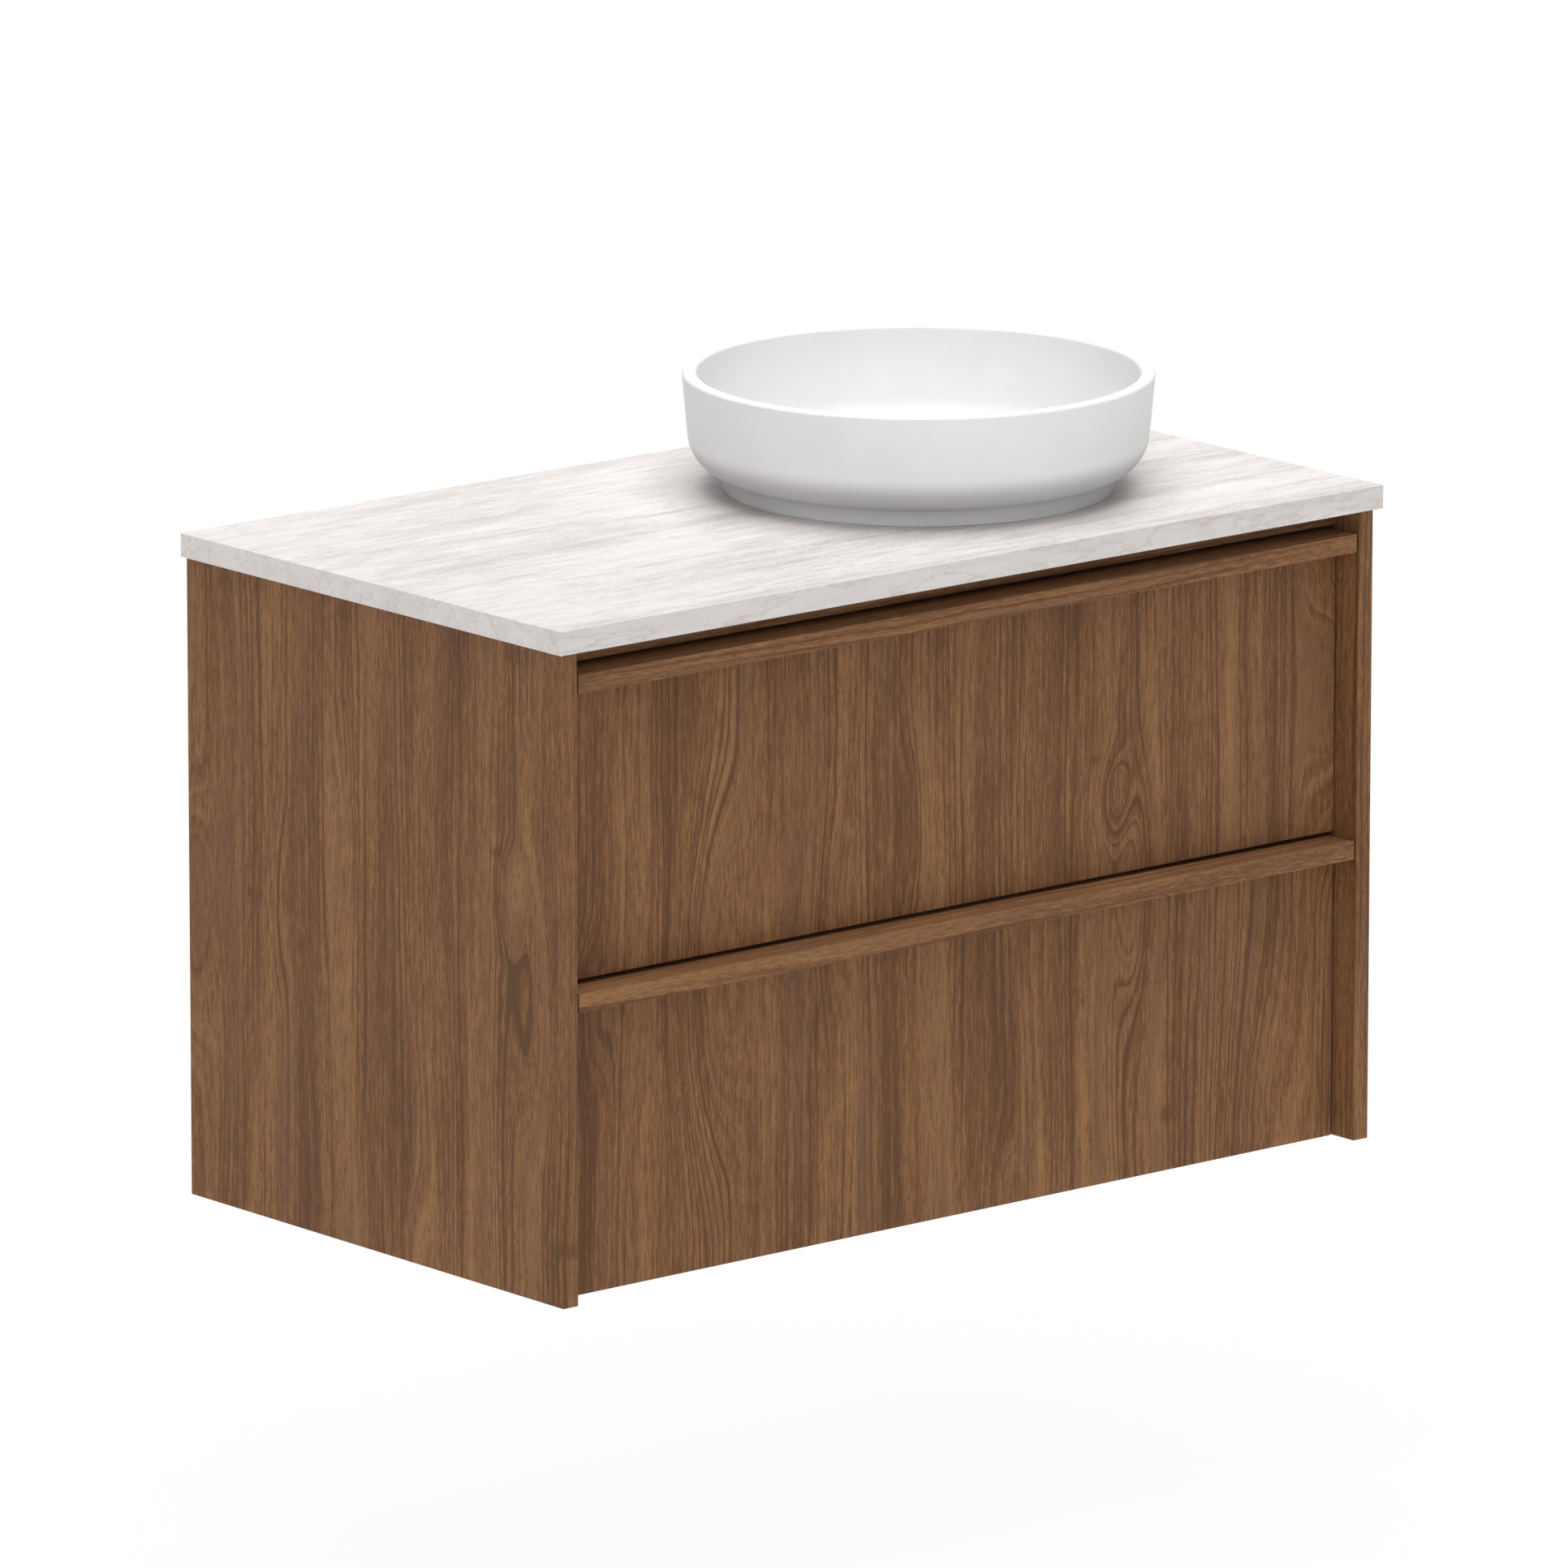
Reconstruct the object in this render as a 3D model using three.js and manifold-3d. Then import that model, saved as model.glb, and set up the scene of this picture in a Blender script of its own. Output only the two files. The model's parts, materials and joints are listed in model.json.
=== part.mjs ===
// A wall-hung vanity: two drawers between walnut side panels, a stone top and a round vessel basin
// right of centre, with the waste and the bottle trap below it.
// Millimetres, +Z up. X runs to the right, the wall is the plane Y = 0 and the front faces -Y.
// The origin is the middle of the hanging rail's back face, where the cabinet is fixed to the wall.

import * as THREE from 'three';
import { mergeVertices } from 'three/addons/utils/BufferGeometryUtils.js';
import Module from 'manifold-3d';

const wasm = await Module();
wasm.setup();

// Driving dimensions.

// Stone top
const topWidth = 900;
const topDepth = 500;
const topThickness = 20;
const topSideOverhang = 6;
const topFrontOverhang = 6;

// Cabinet
const cabinetHeight = 550;
const board = 16;
const flatRailWidth = 100;
const hangingRailHeight = 80;
const lowerRailHeight = 80;
const bottomPanelSetback = 2;

// Drawer fronts and their handle rails
const frontRecess = 27;
const frontSideGap = 2;
const frontGap = 4;
const handleRailHeight = 16;

// Drawer boxes
const drawerBoard = 16;
const drawerBottomThickness = 12;
const drawerBackRoom = 51;
const drawerUnderGap = 14;
const upperBoxDrop = 84;
const lowerBoxDrop = 47;

// Telescopic runners
const runnerWidth = 12.7;
const runnerHeight = 45;
const runnerSteel = 1.2;
const runnerSetback = 2;
const runnerRise = 20;
const runnerWebGap = 0.8;
const ballSpace = 3.2;
const ballStripWidth = 3.5;
const outerFlangeInset = 3.2;

// Brackets and bumpers
const bracketLeg = 40;
const bracketHeight = 60;
const bracketSteel = 2.5;
const bumperRadius = 5;
const bumperInset = 60;

// Basin
const basinOffset = 146;
const basinFromFront = 250;
const basinRadius = 200;
const basinHeight = 100;
const basinWall = 12.5;
const basinLeanDegrees = 4.8;
const basinBendRadius = 36;
const basinLipRadius = 2.5;
const footInset = 32;
const footLean = 2;
const footHeight = 14;
const footWidth = 16;
const footHollow = 7;
const floorThickness = 13;
const floorFall = 2.5;
const innerBendRadius = 22;

// Waste
const wasteBore = 17;
const wasteWall = 3;
const wasteLength = 85;
const basinHoleGap = 3;
const stoneHoleGap = 4;
const wasteFlangeLap = 9;
const wasteFlangeThickness = 2.5;
const wasteFlangeProud = 1;
const topSealThickness = 1.5;
const coneSealLap = 10;
const coneSealHeight = 6;
const backNutWidth = 11;
const backNutHeight = 12;
const guideWall = 3.7;
const guideHeight = 10;
const guideDepth = 18;
const guideArm = 3;
const capMargin = 3;
const capThickness = 5;
const capSealThickness = 1.2;
const capSealWidth = 4;
const stemRadius = 4;
const stemCollarWidth = 2;
const stemCollarHeight = 4;
const plugLift = 8;

// Bottle trap
const pipeRadius = 16;
const pipeWall = 1.5;
const neckWall = 4.7;
const neckHeight = 14;
const trapShoulder = 9;
const trapWall = 4;
const trapRise = 30;
const trapDrop = 55;
const cupWall = 3;
const cupDepth = 16;
const cupOverlap = 12;
const cupSealHeight = 2;
const dipDepth = 38;
const stubLength = 18;
const pipeInsert = 12;
const nutWall = 6;
const inletNutHeight = 20;
const slipNutHeight = 16;
const nutLip = 4;
const collarThickness = 2.5;
const collarWidth = 3.3;
const washerThickness = 2;
const wallFlangeWidth = 15.7;
const wallFlangeHeight = 9;
const wallFlangeRimHeight = 2;
const outletBelowRail = 4;
const nutSpacing = 6;

// Cut-out in the upper drawer
const notchSideRoom = 35;
const notchFrontRoom = 30;

// Clearance of pieces that fit round or run in each other, and the overrun of every cut
const fitGap = 0.3;
const overrun = 5;

// Number of flat sides on round shapes
const bowlSides = 64;
const roundSides = 24;
const bendSteps = 6;
const lipSteps = 2;
const guideArms = 3;
const nutSides = 6;

// Sizes and places that follow from the driving dimensions, in the cabinet's own frame,
// whose height starts at the underside of the side panels.

const cabinetWidth = topWidth - 2 * topSideOverhang;
const cabinetDepth = topDepth - topFrontOverhang;
const insideHalf = cabinetWidth / 2 - board;
const frontY = -cabinetDepth + frontRecess;
const frontBackY = frontY + board;
const frontHalf = insideHalf - frontSideGap;
const topRailZ = cabinetHeight - board;
const unitHeight = (topRailZ - 2 * frontGap) / 2;
const frontHeight = unitHeight - handleRailHeight;
const hangingRailZ = topRailZ - hangingRailHeight;
const originZ = hangingRailZ + hangingRailHeight / 2;
const topZ = cabinetHeight + topThickness;
const drawerHalf = insideHalf - runnerWidth;
const drawerBackY = -drawerBackRoom;

// The basin's centre, and its frame, which starts at the foot ring on the stone
const basinY = -topDepth + basinFromFront;
const floorHeight = footHollow + floorThickness;
const wasteRadius = wasteBore + wasteWall;
const wasteFit = wasteRadius + fitGap;
const basinHoleRadius = wasteRadius + basinHoleGap;
const stoneHoleRadius = wasteRadius + stoneHoleGap;
const wasteFlangeRadius = basinHoleRadius + wasteFlangeLap;
const recessZ = floorHeight - floorFall;
const wasteTopZ = recessZ + wasteFlangeProud;
const sealTopZ = wasteTopZ - wasteFlangeThickness;
const sealSeatZ = sealTopZ - topSealThickness;
const wasteEndZ = wasteTopZ - wasteLength;
const guideTopZ = wasteTopZ - guideDepth;
const guideUnderZ = guideTopZ - guideHeight;

// The trap's frame starts at the axis of its outlet, which runs under the hanging rail and lies
// low enough for the nut of the neck to clear the nut of the inlet.
const pipeBore = pipeRadius - pipeWall;
const pipeFit = pipeRadius + fitGap;
const neckRadius = pipeFit + neckWall;
const trapRadius = neckRadius + trapShoulder;
const neckTop = trapRise + neckHeight;
const wallFlangeRadius = pipeFit + wallFlangeWidth;
const inletStack = washerThickness + collarThickness + fitGap + nutLip;
const underRailZ = hangingRailZ - wallFlangeRadius - outletBelowRail;
const underNutZ = topZ + wasteEndZ - inletStack - nutSpacing - nutLip - fitGap - neckTop;
const outletZ = Math.min(underRailZ, underNutZ);
const tailEndZ = topZ + wasteEndZ - outletZ;

// Materials

const material = (color, roughness, metalness) =>
  new THREE.MeshStandardMaterial({ color, roughness, metalness });
const walnut = material(0x75553a, 0.55, 0);
const melamine = material(0xd9d6d0, 0.5, 0);
const stone = material(0xe6e2de, 0.45, 0);
const ceramic = material(0xf4f4f3, 0.4, 0);
const chrome = material(0xd8dadc, 0.12, 1);
const zincSteel = material(0xb4b8bb, 0.35, 1);
const rubber = material(0x2b2b2c, 0.8, 0);
const clearRubber = material(0xd8d8d4, 0.4, 0);

// Shapes

const vanity = new THREE.Group();
vanity.position.z = -originZ;

function place(group, name, geometry, finish, x = 0, y = 0, z = 0) {
  const mesh = new THREE.Mesh(geometry, finish);
  mesh.name = name;
  mesh.position.set(x, y, z);
  group.add(mesh);
  return mesh;
}

// A rectangular board given by where it starts and ends along X, Y and Z.
function slab(group, name, finish, [x0, x1], [y0, y1], [z0, z1]) {
  const geometry = new THREE.BoxGeometry(x1 - x0, y1 - y0, z1 - z0);
  return place(group, name, geometry, finish, (x0 + x1) / 2, (y0 + y1) / 2, (z0 + z1) / 2);
}

// A flat outline, with holes if any, given its thickness upwards from zero.
function plate(points, thickness, holes = []) {
  const shape = new THREE.Shape(points);
  shape.holes = holes;
  return new THREE.ExtrudeGeometry(shape, {
    depth: thickness,
    bevelEnabled: false,
    curveSegments: roundSides,
  });
}

function circlePath(x, y, radius) {
  const path = new THREE.Path();
  path.absarc(x, y, radius, 0, 2 * Math.PI, true);
  return path;
}

// A body turned about the Z axis. The profile is a list of [radius, height], with the body on the
// left of its direction. It starts and ends on the axis, or returns to its first point.
function turned(profile, sides = roundSides) {
  const points = profile.map(([radius, height]) => new THREE.Vector2(radius, height));
  const onAxis = profile[0][0] === 0;
  if (!onAxis) points.push(points[0].clone());
  return new THREE.LatheGeometry(points, sides).rotateX(Math.PI / 2);
}

// A tube or a ring with square ends.
function ring(inner, outer, z0, z1, sides = roundSides) {
  return turned([[inner, z0], [outer, z0], [outer, z1], [inner, z1]], sides);
}

function disc(radius, z0, z1) {
  return turned([[0, z0], [radius, z0], [radius, z1], [0, z1]]);
}

// Turns a body made about the Z axis so that its heights run towards the wall.
function alongY(geometry) {
  return geometry.rotateX(-Math.PI / 2);
}

// Points of an arc, from one angle to another, in radians.
function arc(centreR, centreZ, radius, from, to, steps) {
  const points = [];
  for (let i = 0; i <= steps; i++) {
    const angle = from + ((to - from) * i) / steps;
    points.push([centreR + radius * Math.cos(angle), centreZ + radius * Math.sin(angle)]);
  }
  return points;
}

function toSolid(geometry) {
  const bare = geometry.clone();
  bare.deleteAttribute('normal');
  bare.deleteAttribute('uv');
  const merged = mergeVertices(bare);
  return new wasm.Manifold(new wasm.Mesh({
    numProp: 3,
    vertProperties: new Float32Array(merged.attributes.position.array),
    triVerts: new Uint32Array(merged.index.array),
  }));
}

function toGeometry(solid) {
  const mesh = solid.getMesh();
  const geometry = new THREE.BufferGeometry();
  geometry.setAttribute('position', new THREE.BufferAttribute(mesh.vertProperties, 3));
  geometry.setIndex(new THREE.BufferAttribute(mesh.triVerts, 1));
  return geometry;
}

// Carcass: side panels, bottom panel, rails, brackets and bumpers

function makeCarcass() {
  const group = new THREE.Group();
  const half = cabinetWidth / 2;
  const sideY = [-cabinetDepth, 0];
  const between = [-insideHalf, insideHalf];
  const upright = [0, cabinetHeight];
  const bottomFrontY = frontBackY + bottomPanelSetback;
  slab(group, 'left_side_panel', walnut, [-half, -insideHalf], sideY, upright);
  slab(group, 'right_side_panel', walnut, [insideHalf, half], sideY, upright);
  slab(group, 'bottom_panel', walnut, between, [bottomFrontY, 0], [0, board]);
  const topRail = [topRailZ, cabinetHeight];
  slab(group, 'top_front_rail', walnut, between, [frontY, frontY + flatRailWidth], topRail);
  slab(group, 'top_back_rail', walnut, between, [-flatRailWidth, 0], topRail);
  slab(group, 'hanging_rail', walnut, between, [-board, 0], [hangingRailZ, topRailZ]);
  slab(group, 'lower_back_rail', walnut, between, [-board, 0], [board, board + lowerRailHeight]);

  // Steel angles that tie the hanging rail to the side panels
  const angle = [[0, 0], [0, -bracketLeg], [bracketSteel, -bracketLeg],
    [bracketSteel, -bracketSteel], [bracketLeg, -bracketSteel], [bracketLeg, 0]];
  const bracketZ = originZ - bracketHeight / 2;
  const onLeft = angle.map(([x, y]) => new THREE.Vector2(x, y));
  const onRight = angle.map(([x, y]) => new THREE.Vector2(-x, y));
  place(group, 'left_corner_bracket', plate(onLeft, bracketHeight), zincSteel,
    -insideHalf, -board, bracketZ);
  place(group, 'right_corner_bracket', plate(onRight, bracketHeight), zincSteel,
    insideHalf, -board, bracketZ);

  // Bumpers on the bottom panel's front edge, behind the lower drawer's front
  const bumper = disc(bumperRadius, 0, bottomPanelSetback - fitGap).rotateX(Math.PI / 2);
  place(group, 'left_bumper', bumper, clearRubber, -insideHalf + bumperInset, bottomFrontY, board / 2);
  place(group, 'right_bumper', bumper, clearRubber, insideHalf - bumperInset, bottomFrontY, board / 2);
  return group;
}

// Stone top with its hole for the waste

function makeTop() {
  const half = topWidth / 2;
  const outline = [[-half, -topDepth], [half, -topDepth], [half, 0], [-half, 0]]
    .map(([x, y]) => new THREE.Vector2(x, y));
  const hole = circlePath(basinOffset, basinY, stoneHoleRadius);
  const group = new THREE.Group();
  place(group, 'stone_top', plate(outline, topThickness, [hole]), stone, 0, 0, cabinetHeight);
  return group;
}

// Basin: a leaning wall, a round bend down to the foot ring, and a dished floor with a drain recess.
// The wall leans in by a steady angle below the rim. The outer bend touches the wall and ends on the
// top of the foot, so its end angle follows from the cosine rule below.

function basinProfile() {
  const lean = THREE.MathUtils.degToRad(basinLeanDegrees);
  const slope = Math.tan(lean);
  const footTop = basinRadius - footInset;
  const reach = footTop - basinRadius + basinBendRadius * Math.cos(lean)
    + (basinHeight - footHeight + basinBendRadius * Math.sin(lean)) * slope;
  const bendEnd = lean + Math.acos((reach * Math.cos(lean)) / basinBendRadius);
  const bendR = footTop - basinBendRadius * Math.cos(bendEnd);
  const bendZ = footHeight + basinBendRadius * Math.sin(bendEnd);
  const lipZ = basinHeight - basinLipRadius;
  const lip = basinLipRadius;
  const outerLipR = basinRadius - lip;
  const innerLipR = basinRadius - basinWall + lip;
  const innerBendZ = floorHeight + innerBendRadius;
  const innerWallR = basinRadius - basinWall
    - (lipZ - innerBendZ + innerBendRadius * Math.sin(lean)) * slope;
  const innerBendR = innerWallR - innerBendRadius * Math.cos(lean);
  const recessR = wasteFlangeRadius + fitGap;
  return [
    [footTop - footLean - footWidth, footHollow],
    [footTop - footLean - footWidth, 0],
    [footTop - footLean, 0],
    ...arc(bendR, bendZ, basinBendRadius, -bendEnd, -lean, bendSteps),
    ...arc(outerLipR, lipZ, lip, 0, Math.PI / 2, lipSteps),
    ...arc(innerLipR, lipZ, lip, Math.PI / 2, Math.PI, lipSteps),
    ...arc(innerBendR, innerBendZ, innerBendRadius, -lean, -Math.PI / 2, bendSteps),
    [recessR, recessZ],
    [recessR, sealSeatZ],
    [basinHoleRadius, sealSeatZ],
    [basinHoleRadius, footHollow],
  ];
}

function makeBasin() {
  const group = new THREE.Group();
  group.position.set(basinOffset, basinY, topZ);
  place(group, 'basin', turned(basinProfile(), bowlSides), ceramic);
  group.add(makeWaste());
  group.add(makePlug());
  return group;
}

// Waste: a flanged tube through the basin and the stone, with a guide for the plug's stem

function makeWaste() {
  const group = new THREE.Group();
  const tube = turned([
    [wasteBore, wasteEndZ],
    [wasteRadius, wasteEndZ],
    [wasteRadius, sealTopZ],
    [wasteFlangeRadius, sealTopZ],
    [wasteFlangeRadius, wasteTopZ - wasteFlangeThickness / 2],
    [wasteFlangeRadius - wasteFlangeThickness / 2, wasteTopZ],
    [wasteBore, wasteTopZ],
  ]);
  const guideRadius = stemRadius + fitGap + guideWall;
  const armLength = wasteBore + wasteWall / 2;
  let body = toSolid(tube).add(toSolid(disc(guideRadius, guideUnderZ, guideTopZ)));
  for (let i = 0; i < guideArms; i++) {
    const arm = new THREE.BoxGeometry(armLength, guideArm, guideHeight);
    arm.translate(armLength / 2, 0, guideUnderZ + guideHeight / 2);
    arm.rotateZ((2 * Math.PI * i) / guideArms);
    body = body.add(toSolid(arm));
  }
  const stemBore = disc(stemRadius + fitGap, guideUnderZ - overrun, guideTopZ + overrun);
  place(group, 'waste_body', toGeometry(body.subtract(toSolid(stemBore))), chrome);
  place(group, 'waste_top_seal', ring(wasteFit, wasteFlangeRadius, sealSeatZ, sealTopZ), rubber);

  // Cone seal and back nut, drawn up against the underside of the stone
  const coneTopZ = -topThickness;
  const coneEndZ = coneTopZ - coneSealHeight;
  const coneRadius = stoneHoleRadius + coneSealLap;
  place(group, 'waste_cone_seal', turned([
    [wasteFit, coneEndZ],
    [stoneHoleRadius, coneEndZ],
    [coneRadius, coneTopZ - coneSealHeight / 2],
    [coneRadius, coneTopZ],
    [wasteFit, coneTopZ],
  ]), rubber);
  const nut = hexNut(wasteRadius + backNutWidth, wasteFit, backNutHeight);
  place(group, 'waste_back_nut', nut, chrome, 0, 0, coneEndZ - backNutHeight);
  return group;
}

function hexNut(radius, bore, height) {
  const points = [];
  for (let i = 0; i < nutSides; i++) {
    const angle = (2 * Math.PI * i) / nutSides;
    points.push(new THREE.Vector2(radius * Math.cos(angle), radius * Math.sin(angle)));
  }
  return plate(points, height, [circlePath(0, 0, bore)]);
}

// Plug: the cap, its seal and the stem, which lift together

function makePlug() {
  const group = new THREE.Group();
  const sealZ = wasteTopZ + fitGap;
  const capZ = sealZ + capSealThickness;
  const capTop = capZ + capThickness;
  const capEdge = capThickness / 2;
  const capRadius = wasteFlangeRadius - capMargin;
  place(group, 'waste_cap', turned([
    [0, capZ],
    [capRadius, capZ],
    ...arc(capRadius - capEdge, capTop - capEdge, capEdge, 0, Math.PI / 2, lipSteps),
    [0, capTop],
  ]), chrome);
  const sealOuter = (wasteBore + wasteFlangeRadius) / 2;
  place(group, 'cap_seal', ring(sealOuter - capSealWidth, sealOuter, sealZ, capZ), rubber);
  const stemCollarRadius = stemRadius + stemCollarWidth;
  const collarTop = guideUnderZ - plugLift - fitGap;
  place(group, 'waste_stem', turned([
    [0, collarTop - stemCollarHeight],
    [stemCollarRadius, collarTop - stemCollarHeight],
    [stemCollarRadius, collarTop],
    [stemRadius, collarTop],
    [stemRadius, capZ],
    [0, capZ],
  ]), chrome);
  return group;
}

// Bottle trap, below the basin's centre

function makeTrap() {
  const group = new THREE.Group();
  group.position.set(basinOffset, basinY, outletZ);

  // Inlet: a washer, a pipe with a collar and the nut that draws it up to the waste
  const collarRadius = pipeRadius + collarWidth;
  const collarTopZ = tailEndZ - washerThickness;
  const collarEndZ = collarTopZ - collarThickness;
  place(group, 'trap_inlet_washer', ring(pipeBore, collarRadius, collarTopZ, tailEndZ), rubber);
  place(group, 'trap_inlet_pipe', turned([
    [pipeBore, -dipDepth],
    [pipeRadius, -dipDepth],
    [pipeRadius, collarEndZ],
    [collarRadius, collarEndZ],
    [collarRadius, collarTopZ],
    [pipeBore, collarTopZ],
  ]), chrome);
  const tailFit = Math.max(wasteRadius, collarRadius) + fitGap;
  const inletNutZ = tailEndZ - inletStack;
  place(group, 'trap_inlet_nut', turned([
    [pipeFit, inletNutZ],
    [tailFit + nutWall, inletNutZ],
    [tailFit + nutWall, inletNutZ + inletNutHeight],
    [tailFit, inletNutZ + inletNutHeight],
    [tailFit, inletNutZ + nutLip],
    [pipeFit, inletNutZ + nutLip],
  ]), chrome);

  // Body: a bottle with a neck for the inlet and a stub for the outlet
  const bodyBore = trapRadius - trapWall;
  const roof = trapRise - trapWall;
  const stubEnd = trapRadius + stubLength;
  const outside = toSolid(disc(trapRadius, -trapDrop, trapRise))
    .add(toSolid(disc(neckRadius, 0, neckTop)))
    .add(toSolid(alongY(disc(neckRadius, 0, stubEnd))));
  const inside = toSolid(disc(bodyBore, -trapDrop - overrun, roof))
    .add(toSolid(disc(pipeFit, 0, neckTop + overrun)))
    .add(toSolid(alongY(disc(pipeFit, 0, stubEnd + overrun))));
  place(group, 'trap_body', toGeometry(outside.subtract(inside)), chrome);

  place(group, 'trap_neck_nut', slipNut(neckTop), chrome);
  place(group, 'trap_outlet_nut', alongY(slipNut(stubEnd)), chrome);

  // Cup that screws on from below, on its seal
  const cupBore = trapRadius + fitGap;
  const shelf = -trapDrop - cupSealHeight;
  const cupFloor = shelf - cupDepth;
  place(group, 'trap_cup_seal', ring(bodyBore, trapRadius, shelf, -trapDrop), rubber);
  place(group, 'trap_cup', turned([
    [0, cupFloor],
    [cupBore, cupFloor],
    [cupBore + cupWall, cupFloor + cupWall],
    [cupBore + cupWall, shelf + cupOverlap],
    [cupBore, shelf + cupOverlap],
    [cupBore, shelf],
    [bodyBore, shelf],
    [bodyBore, cupFloor + cupWall],
    [0, cupFloor + cupWall],
  ]), chrome);

  // Outlet pipe to the wall and the flange that covers its hole
  const wallAt = -basinY;
  place(group, 'outlet_pipe', alongY(ring(pipeBore, pipeRadius, stubEnd - pipeInsert, wallAt)), chrome);
  const domeWidth = wallFlangeRadius - pipeFit;
  const domeHeight = wallFlangeHeight - wallFlangeRimHeight;
  const domeCurve = arc(0, 0, 1, -Math.PI / 2, 0, bendSteps).map(([across, up]) => [
    pipeFit + domeWidth * across,
    wallAt - wallFlangeRimHeight + domeHeight * up,
  ]);
  const dome = alongY(turned([...domeCurve, [wallFlangeRadius, wallAt], [pipeFit, wallAt]]));
  place(group, 'wall_flange', dome, chrome);
  return group;
}

// A nut that closes the end of a neck round a pipe
function slipNut(end) {
  const neckBore = neckRadius + fitGap;
  const seat = end + fitGap;
  const start = seat + nutLip - slipNutHeight;
  return turned([
    [neckBore, start],
    [neckBore + nutWall, start],
    [neckBore + nutWall, seat + nutLip],
    [pipeFit, seat + nutLip],
    [pipeFit, seat],
    [neckBore, seat],
  ]);
}

// Telescopic runners: three channels that slide in each other. The outlines are drawn for the left
// side, from the side panel (across = 0) to the drawer (across = runnerWidth), about the mid height,
// and the right side is their mirror image. The middle member carries the rows of balls.

const outerHalf = runnerHeight / 2;
const middleHalf = outerHalf - runnerSteel - ballSpace;
const innerHalf = middleHalf - runnerSteel - ballSpace;

// An outline symmetric about the mid height, from the points of its upper half.
function mirrored(upper) {
  const lower = upper.map(([across, up]) => [across, -up]).reverse();
  return [...upper, ...lower];
}

function cabinetMember() {
  const tip = runnerWidth - outerFlangeInset;
  return mirrored([
    [runnerSteel, outerHalf - runnerSteel],
    [tip, outerHalf - runnerSteel],
    [tip, outerHalf],
    [0, outerHalf],
  ]);
}

function middleMember() {
  const web = runnerSteel + runnerWebGap;
  const tip = runnerWidth - runnerSteel - runnerWebGap;
  const stripStart = (web + tip - ballStripWidth) / 2;
  const stripEnd = stripStart + ballStripWidth;
  const upper = outerHalf - runnerSteel - fitGap;
  const lower = innerHalf + fitGap;
  return mirrored([
    [web + runnerSteel, middleHalf - runnerSteel],
    [stripStart, middleHalf - runnerSteel],
    [stripStart, lower],
    [stripEnd, lower],
    [stripEnd, middleHalf - runnerSteel],
    [tip, middleHalf - runnerSteel],
    [tip, middleHalf],
    [stripEnd, middleHalf],
    [stripEnd, upper],
    [stripStart, upper],
    [stripStart, middleHalf],
    [web, middleHalf],
  ]);
}

function drawerMember() {
  const tip = 2 * (runnerSteel + runnerWebGap);
  return mirrored([
    [runnerWidth - runnerSteel, innerHalf - runnerSteel],
    [tip, innerHalf - runnerSteel],
    [tip, innerHalf],
    [runnerWidth, innerHalf],
  ]);
}

function makeRunners(drawerName, boxZ) {
  const group = new THREE.Group();
  group.position.z = boxZ + runnerRise + outerHalf;
  const members = {
    cabinet_member: cabinetMember(),
    middle_member: middleMember(),
    drawer_member: drawerMember(),
  };
  const startY = frontBackY + runnerSetback;
  const length = drawerBackY - startY;
  for (const [member, outline] of Object.entries(members)) {
    for (const [side, sign] of [['left', 1], ['right', -1]]) {
      // The outline lies in X and Z, and the extrusion runs along Y once it is turned.
      const points = outline.map(([across, up]) => new THREE.Vector2(sign * across, -up));
      const geometry = plate(points, length).rotateX(-Math.PI / 2);
      place(group, `${drawerName}_${side}_${member}`, geometry, zincSteel, -sign * insideHalf, startY, 0);
    }
  }
  return group;
}

// Drawers: a front with a handle rail on its top edge, and a box behind it

function makeDrawer(drawerName, frontZ, boxZ, boxTopZ) {
  const group = new THREE.Group();
  const across = [-frontHalf, frontHalf];
  const railZ = frontZ + frontHeight;
  slab(group, `${drawerName}_drawer_front`, walnut, across, [frontY, frontBackY], [frontZ, railZ]);
  slab(group, `${drawerName}_handle_rail`, walnut, across, [-cabinetDepth, frontBackY],
    [railZ, railZ + handleRailHeight]);
  const along = [frontBackY, drawerBackY];
  const upright = [boxZ, boxTopZ];
  const inner = drawerHalf - drawerBoard;
  slab(group, `${drawerName}_drawer_left_side`, melamine, [-drawerHalf, -inner], along, upright);
  slab(group, `${drawerName}_drawer_right_side`, melamine, [inner, drawerHalf], along, upright);
  group.add(makeRunners(drawerName, boxZ));
  return group;
}

function makeLowerDrawer() {
  const boxZ = board + drawerUnderGap;
  const boxTopZ = frontHeight - lowerBoxDrop;
  const group = makeDrawer('lower', 0, boxZ, boxTopZ);
  const inner = [-drawerHalf + drawerBoard, drawerHalf - drawerBoard];
  const floorZ = boxZ + drawerBottomThickness;
  slab(group, 'lower_drawer_bottom', melamine, inner, [frontBackY, drawerBackY], [boxZ, floorZ]);
  slab(group, 'lower_drawer_back', melamine, inner, [drawerBackY - drawerBoard, drawerBackY],
    [floorZ, boxTopZ]);
  return group;
}

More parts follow.
